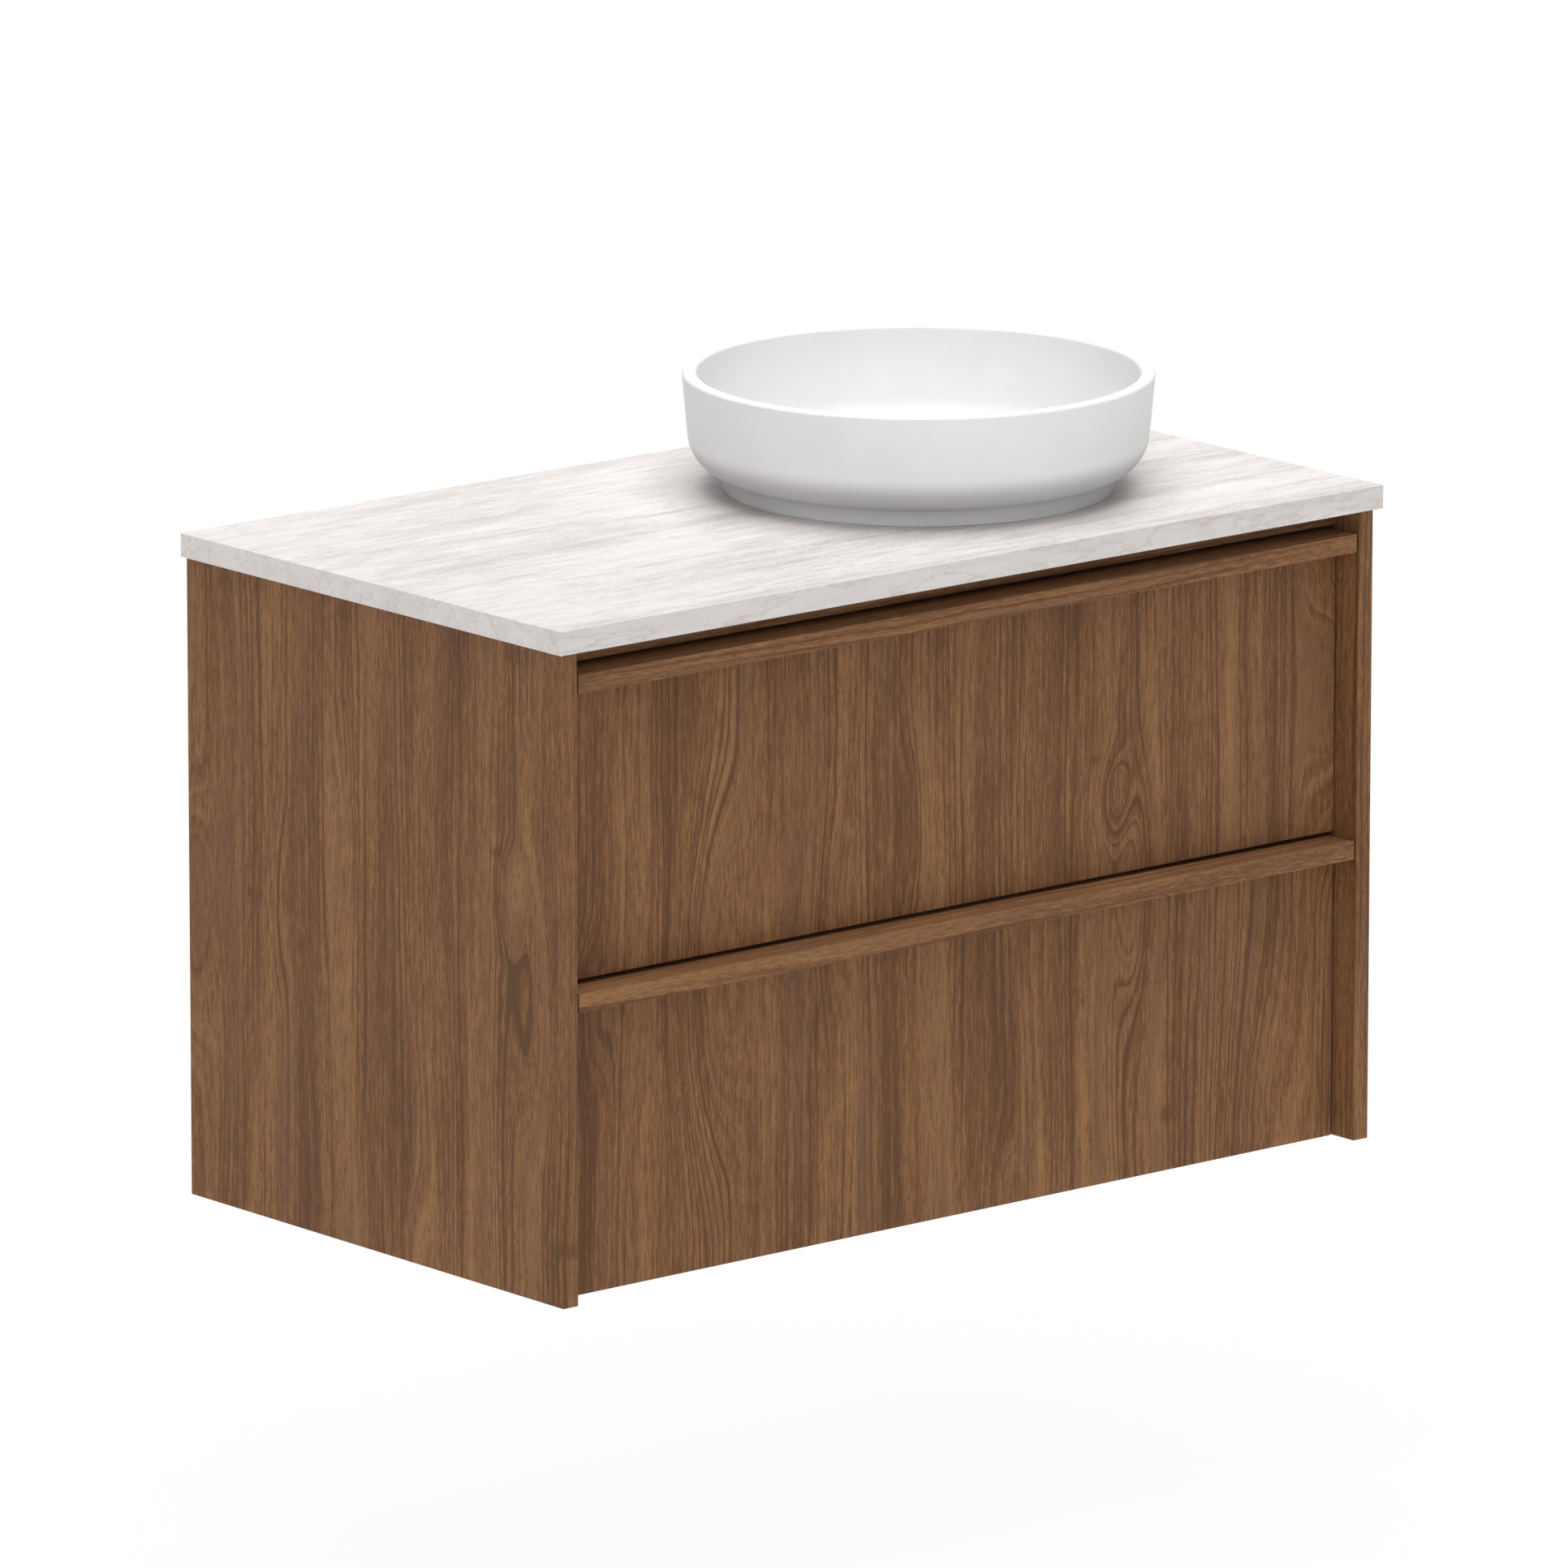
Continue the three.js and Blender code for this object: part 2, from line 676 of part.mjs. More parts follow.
// The upper drawer is cut out round the trap, and three walls line the cut-out.
function makeUpperDrawer() {
  const frontZ = unitHeight + frontGap;
  const boxZ = frontZ + drawerUnderGap;
  const boxTopZ = frontZ + frontHeight - upperBoxDrop;
  const group = makeDrawer('upper', frontZ, boxZ, boxTopZ);
  const inner = drawerHalf - drawerBoard;
  const floorZ = boxZ + drawerBottomThickness;
  const wallZ = [floorZ, boxTopZ];
  const cutHalf = trapRadius + cupWall + notchSideRoom;
  const cutLeft = basinOffset - cutHalf;
  const cutRight = basinOffset + cutHalf;
  const cutFront = basinY - trapRadius - cupWall - notchFrontRoom;
  const outline = [[-inner, frontBackY], [inner, frontBackY], [inner, drawerBackY],
    [cutRight, drawerBackY], [cutRight, cutFront], [cutLeft, cutFront],
    [cutLeft, drawerBackY], [-inner, drawerBackY]].map(([x, y]) => new THREE.Vector2(x, y));
  place(group, 'upper_drawer_bottom', plate(outline, drawerBottomThickness), melamine, 0, 0, boxZ);
  const backY = [drawerBackY - drawerBoard, drawerBackY];
  const wallY = [cutFront, drawerBackY];
  const leftWall = [cutLeft - drawerBoard, cutLeft];
  const rightWall = [cutRight, cutRight + drawerBoard];
  slab(group, 'upper_notch_left_wall', melamine, leftWall, wallY, wallZ);
  slab(group, 'upper_notch_right_wall', melamine, rightWall, wallY, wallZ);
  slab(group, 'upper_notch_front_wall', melamine, [leftWall[0], rightWall[1]],
    [cutFront - drawerBoard, cutFront], wallZ);
  slab(group, 'upper_drawer_back_left', melamine, [-inner, leftWall[0]], backY, wallZ);
  slab(group, 'upper_drawer_back_right', melamine, [rightWall[1], inner], backY, wallZ);
  return group;
}

vanity.add(makeCarcass(), makeTop(), makeBasin(), makeTrap(), makeUpperDrawer(), makeLowerDrawer());

export default vanity;
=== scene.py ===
"""Looks of a wall-hung vanity: walnut boards, a stone top, a matt vessel basin, a chromed waste and trap.

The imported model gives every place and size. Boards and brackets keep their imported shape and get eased
edges, and everything round or bent is made anew as a fine surface in the same place.
"""

import json
import math
from functools import partial

import bpy
import numpy as np
from bpy.props import FloatProperty, FloatVectorProperty, IntProperty, PointerProperty
from mathutils import Matrix, Vector


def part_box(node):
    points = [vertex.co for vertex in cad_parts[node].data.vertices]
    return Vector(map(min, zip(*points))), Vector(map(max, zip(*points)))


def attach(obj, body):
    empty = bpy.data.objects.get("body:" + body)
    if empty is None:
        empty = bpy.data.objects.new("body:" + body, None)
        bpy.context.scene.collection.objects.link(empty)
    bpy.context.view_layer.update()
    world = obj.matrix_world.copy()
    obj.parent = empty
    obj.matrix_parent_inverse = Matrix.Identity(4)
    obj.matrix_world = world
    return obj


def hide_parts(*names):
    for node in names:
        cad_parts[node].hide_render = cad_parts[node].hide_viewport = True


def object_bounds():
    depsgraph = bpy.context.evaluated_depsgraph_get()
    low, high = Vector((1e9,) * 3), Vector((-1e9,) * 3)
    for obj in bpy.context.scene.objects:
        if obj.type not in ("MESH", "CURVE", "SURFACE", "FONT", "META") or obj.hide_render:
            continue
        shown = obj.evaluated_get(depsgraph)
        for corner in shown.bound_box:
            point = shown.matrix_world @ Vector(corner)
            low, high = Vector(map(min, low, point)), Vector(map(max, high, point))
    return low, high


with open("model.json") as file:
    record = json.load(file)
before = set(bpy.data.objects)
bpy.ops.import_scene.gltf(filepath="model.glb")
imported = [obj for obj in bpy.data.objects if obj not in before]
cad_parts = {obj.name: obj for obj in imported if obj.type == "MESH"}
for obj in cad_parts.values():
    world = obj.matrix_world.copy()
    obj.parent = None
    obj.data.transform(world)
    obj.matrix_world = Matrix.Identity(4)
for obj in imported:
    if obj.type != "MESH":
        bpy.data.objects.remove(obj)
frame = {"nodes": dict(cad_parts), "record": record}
packed_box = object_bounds()

bl_info = {
    "name": "Vessel basin vanity",
    "version": (1, 0, 0),
    "blender": (4, 5, 0),
    "location": "3D View > Sidebar > Vanity",
    "description": "Dresses a packed wall-hung vanity with a vessel basin",
    "category": "Object",
}

PER_METRE = 1000  # millimetres, the unit of every pattern
MM = 0.001
UP = (0, 0, 1)
BACK = (0, 1, 0)
QUARTER = math.radians(90)
SAME = 0.01 * MM  # lengths that differ by less count as one
LEVEL = math.radians(0.5)  # faces that differ by less count as one


def linear(code):
    """Linear red, green and blue of an sRGB hex colour such as #8C6A4B."""
    channels = (int(code[i : i + 2], 16) / 255 for i in (1, 3, 5))
    return tuple(c / 12.92 if c <= 0.04045 else ((c + 0.055) / 1.055) ** 2.4 for c in channels)


def colour_property(name, description, code):
    """A colour that the user can change, given as sRGB hex."""
    return FloatVectorProperty(
        name=name, description=description, subtype="COLOR", size=3, min=0, max=1, default=linear(code)
    )


def length_property(name, description, millimetres):
    """A length that the user can change, given in millimetres and kept in metres."""
    return FloatProperty(
        name=name, description=description, unit="LENGTH", min=0, default=millimetres * MM
    )


# Settings


class VanityBoards(bpy.types.PropertyGroup):
    """Colours and edges of the walnut and the pale boards."""

    heart: colour_property("Dark heartwood", "Darkest lines of the walnut", "#63442C")
    brown: colour_property("Brown", "Darker half of the walnut", "#744F34")
    warm: colour_property("Warm brown", "Lighter half of the walnut", "#89603F")
    straw: colour_property("Straw", "Lightest lines of the walnut", "#9C734D")
    plum: colour_property("Plum", "Purple tinge of some dark bands", "#674B3B")
    pale: colour_property("Melamine", "Face of the drawer boxes", "#D9D5CE")
    arris: length_property("Arris", "Width of the eased edge on every board", 0.5)
    band_width: length_property("Band width", "Widest of the walnut's bands", 60)


class VanityStone(bpy.types.PropertyGroup):
    """Colours and edge of the stone top."""

    light: colour_property("Light bands", "Palest streaks of the stone", "#EDE8E7")
    middle: colour_property("Ground", "Mean colour of the stone", "#DFDAD8")
    dark: colour_property("Dark bands", "Grey streaks of the stone", "#BDB7B4")
    vein: colour_property("Veins", "Beige lines along the streaks", "#CFC5B8")
    arris: length_property("Arris", "Width of the polished edge", 0.8)


class VanityBasin(bpy.types.PropertyGroup):
    """Section of the basin, which is turned about its drain."""

    glaze: colour_property("Glaze", "Matt white of the basin", "#F5F6F7")
    # Painted shade: besides the real unglazed foot, this colour darkens the downward faces and grades the
    # foot ring.
    clay_and_shade: colour_property("Bare clay", "Foot and underside, wiped bare of glaze", "#C3C4C5")
    wall: length_property("Wall", "Thickness at the rim", 12.5)
    lean: FloatProperty(
        name="Lean", description="Slope of the wall", subtype="ANGLE", default=math.radians(4.8)
    )
    bend: length_property("Outer bend", "Radius between the wall and the foot", 36)
    inner_bend: length_property("Inner bend", "Radius between the wall and the floor", 22)
    lip: length_property("Lip", "Rounding of the rim's two edges", 2.5)
    foot_inset: length_property("Foot inset", "How far the foot stands back from the rim", 32)
    foot_lean: length_property("Foot lean", "How far the foot draws in towards the stone", 2)
    foot_height: length_property("Foot height", "Height of the foot ring", 14)
    foot_width: length_property("Foot width", "Width of the ring that stands on the stone", 16)
    foot_edge: length_property("Foot edge", "Rounding where the foot meets the stone", 0.8)
    foot_hollow: length_property("Foot hollow", "Hollow curve between the foot and the bend", 3)
    hollow: length_property("Hollow", "Height of the hollow under the floor", 7)
    floor: length_property("Floor", "Thickness of the floor at its edge", 13)
    fall: length_property("Fall", "How far the floor falls to the waste", 2.5)
    sides: IntProperty(name="Sides", description="Faces round the basin", min=48, default=160)


class VanityFittings(bpy.types.PropertyGroup):
    """Finishes of the metal and the rubber."""

    chrome: colour_property("Chrome", "Plate on the waste and the trap", "#DADCDE")
    zinc: colour_property("Zinc", "Plate on the runners, brackets and screws", "#B9BCBE")
    rubber: colour_property("Rubber", "Seals", "#2A2A2B")
    clear: colour_property("Clear rubber", "Bumpers", "#DCDCD8")
    sides: IntProperty(name="Sides", description="Faces round a pipe or a nut", min=24, default=72)


class VanityStudio(bpy.types.PropertyGroup):
    """Floor, lamps and camera."""

    background: colour_property("Background", "What the camera sees behind the vanity", "#FFFFFF")
    floor_drop: length_property("Floor drop", "Floor below the cabinet", 300)
    floor_width: length_property("Floor width", "Side of the square floor", 40000)
    overhead: FloatProperty(name="Overhead", description="Strength of the top lamp", min=0, default=3.0)
    key: FloatProperty(name="Key", description="Strength of the front left lamp", min=0, default=0.8)
    side: FloatProperty(name="Side", description="Strength of the left lamp", min=0, default=0.2)
    softness: FloatProperty(
        name="Softness", description="Width of the lamps", subtype="ANGLE", default=math.radians(60)
    )
    lens: FloatProperty(
        name="Lens", description="Focal length on a 36 mm sensor", unit="CAMERA", default=365.82
    )
    place: FloatVectorProperty(
        name="Camera", description="Where the camera stands", subtype="XYZ", unit="LENGTH", size=3,
        default=(-8.439315, -10.263486, 2.863238),
    )
    azimuth: FloatProperty(
        name="Azimuth", description="Camera's turn from the front", subtype="ANGLE",
        default=math.radians(-40.1162),
    )
    elevation: FloatProperty(
        name="Elevation", description="Camera's height as an angle", subtype="ANGLE",
        default=math.radians(13.0043),
    )
    roll: FloatProperty(
        name="Roll", description="Camera's tilt", subtype="ANGLE", default=math.radians(0.0365)
    )


# Surfaces. A surface is a pair: its points, and its faces as arrays of point numbers.


def turned(profile, centre, axis=(0, 0, 1), sides=72, reshape=None):
    """A closed body turned about an axis through centre.

    Point (i, j) is centre + r (cos a e1 + sin a e2) + h axis, with r and h the profile's row i, a the
    angle 2 pi j / sides, and e1, e2 square to the axis. reshape(r, a, h) may change r and h first.
    The profile runs anticlockwise, from axis to axis or back to its first point.
    """
    axis = np.asarray(axis, float)
    aside = np.array([0.0, 1.0, 0.0]) if abs(axis[0]) > 0.9 else np.array([1.0, 0.0, 0.0])
    first = aside - axis * (aside @ axis)
    first /= np.linalg.norm(first)
    second = np.cross(axis, first)
    radius, height = np.asarray(profile, float).T
    on_axis = radius[:, None] == 0
    angle = np.broadcast_to(2 * np.pi * np.arange(sides) / sides, (len(radius), sides))
    radius, height = (np.broadcast_to(x[:, None], angle.shape) for x in (radius, height))
    if reshape:
        radius, height = reshape(radius, angle, height)
    points = (
        np.asarray(centre, float)
        + (radius * np.cos(angle))[..., None] * first
        + (radius * np.sin(angle))[..., None] * second
        + height[..., None] * axis
    )
    row = np.arange(len(radius))[:, None] * sides
    number = np.where(on_axis, row, row + np.arange(sides))
    if not on_axis[0, 0]:
        number = np.vstack([number, number[:1]])
    beside = np.roll(number, -1, axis=1)
    quads = np.stack([number[:-1], beside[:-1], beside[1:], number[1:]], -1).reshape(-1, 4)
    return points.reshape(-1, 3), [quads]


def block(low, high):
    """A box: corner (i, j, k) takes low or high along X, Y and Z as i, j and k are 0 or 1."""
    pick = np.array(np.meshgrid([0, 1], [0, 1], [0, 1], indexing="ij")).reshape(3, -1).T
    points = np.where(pick == 1, np.asarray(high, float), np.asarray(low, float))
    quads = np.array([
        [0, 1, 3, 2], [4, 6, 7, 5], [0, 4, 5, 1], [2, 3, 7, 6], [0, 2, 6, 4], [1, 5, 7, 3],
    ])
    return points, [quads]


def spun(surface, centre, angle):
    """A surface turned by an angle about the upright line through centre."""
    points, faces = surface
    cos, sin = math.cos(angle), math.sin(angle)
    turn = np.array([[cos, -sin, 0], [sin, cos, 0], [0, 0, 1]])
    return (points - centre) @ turn.T + centre, faces


def arc(centre, radius, start, end, steps=12):
    """Points of an arc in the profile's plane: centre + radius (cos t, sin t), t from start to end."""
    angle = np.linspace(start, end, steps + 1)
    return np.asarray(centre, float) + radius * np.stack([np.cos(angle), np.sin(angle)], -1)


def eased(outline, ease, steps=4, closed=True):
    """An outline with its corners rounded.

    Corner c becomes the curve (1-t)^2 a + 2t(1-t) c + t^2 b, where a and b lie back along its two edges
    by the ease, or by half the edge where that is shorter. An open outline keeps its two ends.
    """
    corner = np.asarray(outline, float)
    before, after = np.roll(corner, 1, axis=0) - corner, np.roll(corner, -1, axis=0) - corner
    reach = np.minimum(np.linalg.norm(before, axis=1), np.linalg.norm(after, axis=1)) / 2
    set_back = np.minimum(reach, ease)[:, None]
    start = corner + before / np.linalg.norm(before, axis=1, keepdims=True) * set_back
    end = corner + after / np.linalg.norm(after, axis=1, keepdims=True) * set_back
    t = np.linspace(0, 1, steps + 1)[None, :, None]
    curve = (1 - t) ** 2 * start[:, None] + 2 * t * (1 - t) * corner[:, None] + t**2 * end[:, None]
    if closed:
        return curve.reshape(-1, 2)
    return np.vstack([corner[:1], curve[1:-1].reshape(-1, 2), corner[-1:]])


def rectangle(inner, outer, bottom, top, ease):
    """The profile of a ring, or of a disc where inner is zero, with its outer corners rounded."""
    corners = [(inner, bottom), (outer, bottom), (outer, top), (inner, top)]
    return eased(corners, ease, closed=inner > 0)


def joined(surfaces):
    """Points and faces of several surfaces as one, without the points that no face uses."""
    points, faces, start = [], [], 0
    for surface_points, arrays in surfaces:
        points.append(surface_points)
        faces += [array + start for array in arrays]
        start += len(surface_points)
    whole = []
    for array in faces:
        if array.shape[1] != 4:
            whole.append(array)
            continue
        low_tip = array[:, 0] == array[:, 1]
        high_tip = array[:, 2] == array[:, 3]
        whole += [array[~low_tip & ~high_tip], array[low_tip][:, 1:], array[high_tip][:, :3]]
    used, renumbered = np.unique(np.concatenate([a.ravel() for a in whole]), return_inverse=True)
    ends = np.cumsum([a.size for a in whole])[:-1]
    parts = [
        flat.reshape(array.shape) for flat, array in zip(np.split(renumbered, ends), whole, strict=True)
    ]
    return np.concatenate(points)[used], parts


def add_piece(name, surfaces, body, finish, stands_for=(), crease=35):
    """Makes one object of some surfaces and hangs it on its body's empty. It stands for the nodes named."""
    points, parts = joined(surfaces)
    mesh = bpy.data.meshes.new(name)
    mesh.from_pydata(points.tolist(), [], [face for part in parts for face in part.tolist()])
    mesh.shade_smooth()
    mesh.set_sharp_from_angle(angle=math.radians(crease))
    mesh.materials.append(finish)
    piece = bpy.data.objects.new(name, mesh)
    bpy.context.scene.collection.objects.link(piece)
    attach(piece, body)
    if stands_for:
        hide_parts(*stands_for)
    return piece


def finish_named(name, make, settings):
    """The finish of that name, made on first use."""
    return bpy.data.materials.get(name) or make(settings)


def dress(nodes, finish, arris, segments=2):
    """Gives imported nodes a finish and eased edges.

    Their meshes are loose triangles, so these are welded, and the level ones joined into whole faces.
    """
    for name in nodes:
        node = frame["nodes"][name]
        for slot in node.material_slots:
            slot.material = finish
        weld = node.modifiers.new("joined", "WELD")
        weld.merge_threshold = SAME
        whole = node.modifiers.new("whole faces", "DECIMATE")
        whole.decimate_type = "DISSOLVE"
        whole.angle_limit = LEVEL
        bevel = node.modifiers.new("eased", "BEVEL")
        bevel.width = arris
        bevel.segments = segments
        bevel.limit_method = "ANGLE"


# Finishes


def add_node(tree, kind, inputs=None, stops=None, **settings):
    """Adds a shader node with its settings, its ramp's stops, and its inputs by name or number."""
    node = tree.nodes.new("ShaderNode" + kind)
    for name, value in settings.items():
        setattr(node, name, value)
    for name, value in (inputs or {}).items():
        if isinstance(value, bpy.types.NodeSocket):
            tree.links.new(value, node.inputs[name])
        else:
            node.inputs[name].default_value = value
    for number, (place, colour) in enumerate(stops or ()):
        elements = node.color_ramp.elements
        stop = elements[number] if number < 2 else elements.new(place)
        stop.position = place
        stop.color = (*colour, 1)
    return node


def start_material(name):
    """A new material with its node tree and its Principled shader."""
    material = bpy.data.materials.new(name)
    material.use_nodes = True
    return material, material.node_tree, material.node_tree.nodes["Principled BSDF"]


def place_in_millimetres(tree, turn=(0, 0, 0), shift=(0, 0, 0)):
    """Object coordinates in millimetres, turned and then shifted."""
    place = add_node(tree, "TexCoord").outputs["Object"]
    inputs = {"Vector": place, "Scale": (PER_METRE,) * 3, "Rotation": turn, "Location": shift}
    return add_node(tree, "Mapping", inputs).outputs["Vector"]


def blotches(tree, place, size, detail=2, roughness=0.5):
    """Soft random blotches from 0 to 1, of the given millimetres along X, Y and Z."""
    scale = tuple(1 / s for s in size)
    scaled = add_node(tree, "VectorMath", {0: place, 1: scale}, operation="MULTIPLY").outputs[0]
    inputs = {"Vector": scaled, "Scale": 1, "Detail": detail, "Roughness": roughness}
    return add_node(tree, "TexNoise", inputs).outputs["Fac"]


def weighted_sum(tree, terms, start=0.0):
    """The start plus value times weight for each (value, weight)."""
    total = start
    for value, weight in terms:
        inputs = {0: value, 1: weight, 2: total}
        total = add_node(tree, "Math", inputs, operation="MULTIPLY_ADD").outputs[0]
    return total


def mean_tone(tree, mean, patterns, marks=()):
    """A sum that averages the mean: patterns of 0 to 1 times their weights, and then weighted marks."""
    start = mean - sum(weight for _, weight in patterns) / 2
    return weighted_sum(tree, [*patterns, *marks], start)


def shaded(tree, tone, colour, share, low, high):
    """The colour where the tone is high, and darkened to a share of itself where the tone is low."""
    darker = tuple(share * c for c in colour)
    return add_node(tree, "ValToRGB", {"Fac": tone}, [(low, darker), (high, colour)]).outputs["Color"]


def link_finish(tree, shader, colour, roughness, height=None, depth=0):
    """Links the shader's colour and roughness, and bumps it by a height times a depth in millimetres."""
    tree.links.new(colour, shader.inputs["Base Color"])
    tree.links.new(roughness, shader.inputs["Roughness"])
    if height is not None:
        bump = add_node(tree, "Bump", {"Height": height, "Distance": depth * MM, "Strength": 1})
        tree.links.new(bump.outputs["Normal"], shader.inputs["Normal"])


PLAIN_IOR = 1.5  # of lacquer, melamine, stone and glaze alike

# Figure of the walnut, in millimetres across and along the grain: centre, half width, half length, and
# how far the rings bulge aside there. The fronts are cut from one sheet, so the figure runs on over both.
FIGURES = (
    (178, -160, 36, 66, 24),
    (206, -250, 40, 190, -30),
    (-262, -250, 66, 250, 46),
    (-131, -215, 30, 130, 13),
    (-46, -150, 26, 130, -12),
    (54, -500, 36, 120, 22),
    (-396, -260, 40, 110, 22),
    (446, -110, 84, 230, -52),
    (350, -500, 70, 260, 26),
)
# Small dark knots: centre, half width and half length.
KNOTS = (
    (157, -125, 9, 6),
    (254, -334, 6, 22),
    (239, -446, 13, 13),
    (324, -219, 4, 6),
    (144, -332, 4, 5),
    (411, -64, 4, 11),
)
PLAIN_SHEET = 1500  # how far aside the sheet has no figure
BAND_LENGTH = 900
# Sizes of the walnut's patterns in millimetres, each width across the grain and length along it.
BAND_LENGTH = 900
PLUM_WIDTH = 30
PLUM_LENGTH = 480
FIBRE_WIDTH = 1.1  # real fibres are 0.02 mm wide, and these stand for bundles of them
FIBRE_LENGTH = 16
PORE_WIDTH = 0.9  # the real 0.3 mm pores would be lost in the render
PORE_LENGTH = 6
PORE_DEPTH = 0.05
STRIPE_WIDTH = 7
STRIPE_LENGTH = 330
RING = 7.5  # growth of one year
RING_DRIFT_WIDTH = 34
RING_DRIFT_LENGTH = 700
RING_DRIFT = 3.5  # years by which the drift moves a ring
WANDER_WIDTH = 110
WANDER_LENGTH = 520
WANDER = 30
RIPPLE_WIDTH = 26
RIPPLE_LENGTH = 100
RIPPLE = 6
# Shares of a year's ring where its late wood begins, is darkest and starts to end.
LATE_START = 0.55
LATE_FULL = 0.88
LATE_END = 0.92
# Values of the noise at which a mark begins and is full.
LATE_BANDS = (0.4, 0.62)
PLUM_BANDS = (0.5, 0.72)
OPEN_PORES = (0.6, 0.72)
PLUM_SHARE = 0.55  # of the tinge in the middle of a plum band
KNOT_DEPTH = -0.35  # change of tone in the middle of a knot


def near_to(tree, place, spot, to_value, blend):
    """A value that rises from 0 at a spot's edge to to_value at its middle.

    The spot is an ellipse across and along the grain: its centre, half width and half length.
    """
    across, along, half_width, half_length = spot
    inputs = {"Vector": place, "Location": (across, 0, along), "Scale": (half_width, 1, half_length)}
    local = add_node(tree, "Mapping", inputs, vector_type="TEXTURE").outputs[0]
    distance = add_node(tree, "VectorMath", {0: local}, operation="LENGTH").outputs["Value"]
    inputs = {"Value": distance, "From Min": 1, "From Max": 0, "To Max": to_value}
    return add_node(tree, "MapRange", inputs, interpolation_type=blend).outputs[0]


def growth_lines(tree, ring_place, rings):
    """Dark late wood: it deepens through each year's ring, ends sharply, and shows only in some bands."""
    drift = blotches(tree, rings, (RING_DRIFT_WIDTH, 1, RING_DRIFT_LENGTH), detail=1)
    year = weighted_sum(tree, [(ring_place, 1 / RING), (drift, RING_DRIFT)])
    season = add_node(tree, "Math", {0: year}, operation="FRACT").outputs[0]
    lines = 1
    for value, nothing, full in (
        (season, LATE_START, LATE_FULL),
        (season, 1, LATE_END),
        (drift, *LATE_BANDS),
    ):
        inputs = {"Value": value, "From Min": nothing, "From Max": full}
        share = add_node(tree, "MapRange", inputs, interpolation_type="SMOOTHSTEP").outputs[0]
        lines = add_node(tree, "Math", {0: lines, 1: share}, operation="MULTIPLY").outputs[0]
    return lines


def walnut(name, boards, turn=(0, 0, 0), shift=(0, 0, 0)):
    """Walnut veneer under a matt lacquer: broad bands, growth rings bent round knots, and open pores.

    The pattern's X runs across the grain and Z along it. Rings follow X + Y plus what bends them, so they
    show on the edges of a board as well as on its faces.
    """
    material, tree, shader = start_material(name)
    sheet = place_in_millimetres(tree, turn, shift)
    axes = add_node(tree, "SeparateXYZ", {0: sheet}).outputs
    wander = blotches(tree, sheet, (WANDER_WIDTH, WANDER_WIDTH, WANDER_LENGTH), detail=1)
    ripple = blotches(tree, sheet, (RIPPLE_WIDTH, RIPPLE_WIDTH, RIPPLE_LENGTH), detail=2)
    across = weighted_sum(tree, [(axes["X"], 1), (ripple, RIPPLE)], -RIPPLE / 2)
    face = add_node(tree, "CombineXYZ", {"X": across, "Z": axes["Z"]}).outputs[0]
    ring_place = weighted_sum(tree, [(across, 1), (axes["Y"], 1), (wander, WANDER)])
    for *spot, bulge in FIGURES:
        ring_place = weighted_sum(tree, [(near_to(tree, face, spot, bulge, "SMOOTHERSTEP"), 1)], ring_place)
    rings = add_node(tree, "CombineXYZ", {"X": ring_place, "Z": axes["Z"]}).outputs[0]
    band_width = boards.band_width * PER_METRE
    band = blotches(tree, rings, (band_width, 1, BAND_LENGTH), detail=2, roughness=0.75)
    stripe = blotches(tree, rings, (STRIPE_WIDTH, 1, STRIPE_LENGTH), detail=3, roughness=0.75)
    line = growth_lines(tree, ring_place, rings)
    plum = blotches(tree, rings, (PLUM_WIDTH, 1, PLUM_LENGTH), detail=2)
    fibre = blotches(tree, sheet, (FIBRE_WIDTH, FIBRE_WIDTH, FIBRE_LENGTH), detail=2, roughness=0.7)
    pore = blotches(tree, sheet, (PORE_WIDTH, PORE_WIDTH, PORE_LENGTH), detail=1)
    inputs = {"Value": pore, "From Min": OPEN_PORES[0], "From Max": OPEN_PORES[1]}
    open_pore = add_node(tree, "MapRange", inputs, interpolation_type="SMOOTHSTEP").outputs[0]

    patterns = [(band, 1.7), (stripe, 1.25), (fibre, 1.6)]
    tone = mean_tone(tree, 0.58, patterns, marks=[(line, -0.5), (open_pore, -0.3)])
    for spot in KNOTS:
        tone = weighted_sum(tree, [(near_to(tree, face, spot, KNOT_DEPTH, "SMOOTHSTEP"), 1)], tone)
    stops = [(0.1, boards.heart), (0.9, boards.straw), (0.38, boards.brown), (0.62, boards.warm)]
    colour = add_node(tree, "ValToRGB", {"Fac": tone}, stops).outputs["Color"]
    inputs = {
        "Value": plum, "From Min": PLUM_BANDS[0], "From Max": PLUM_BANDS[1], "To Max": PLUM_SHARE,
    }
    share = add_node(tree, "MapRange", inputs, interpolation_type="SMOOTHSTEP").outputs[0]
    inputs = {0: share, 6: colour, 7: (*boards.plum, 1)}
    colour = add_node(tree, "Mix", inputs, data_type="RGBA").outputs[2]
    rough = weighted_sum(tree, [(fibre, 0.12), (open_pore, 0.15)], 0.55)
    height = weighted_sum(tree, [(fibre, 0.4), (open_pore, -0.8)], 0.8)
    link_finish(tree, shader, colour, rough, height, PORE_DEPTH)
    shader.inputs["IOR"].default_value = PLAIN_IOR
    shader.inputs["Specular IOR Level"].default_value = 0.2
    return material


MELAMINE_CLOUD = (60, 60, 60)
MELAMINE_PEARL = (1.4, 1.4, 1.4)  # the real emboss is 0.3 mm across, drawn coarser so that it shows
PEARL_DEPTH = 0.04


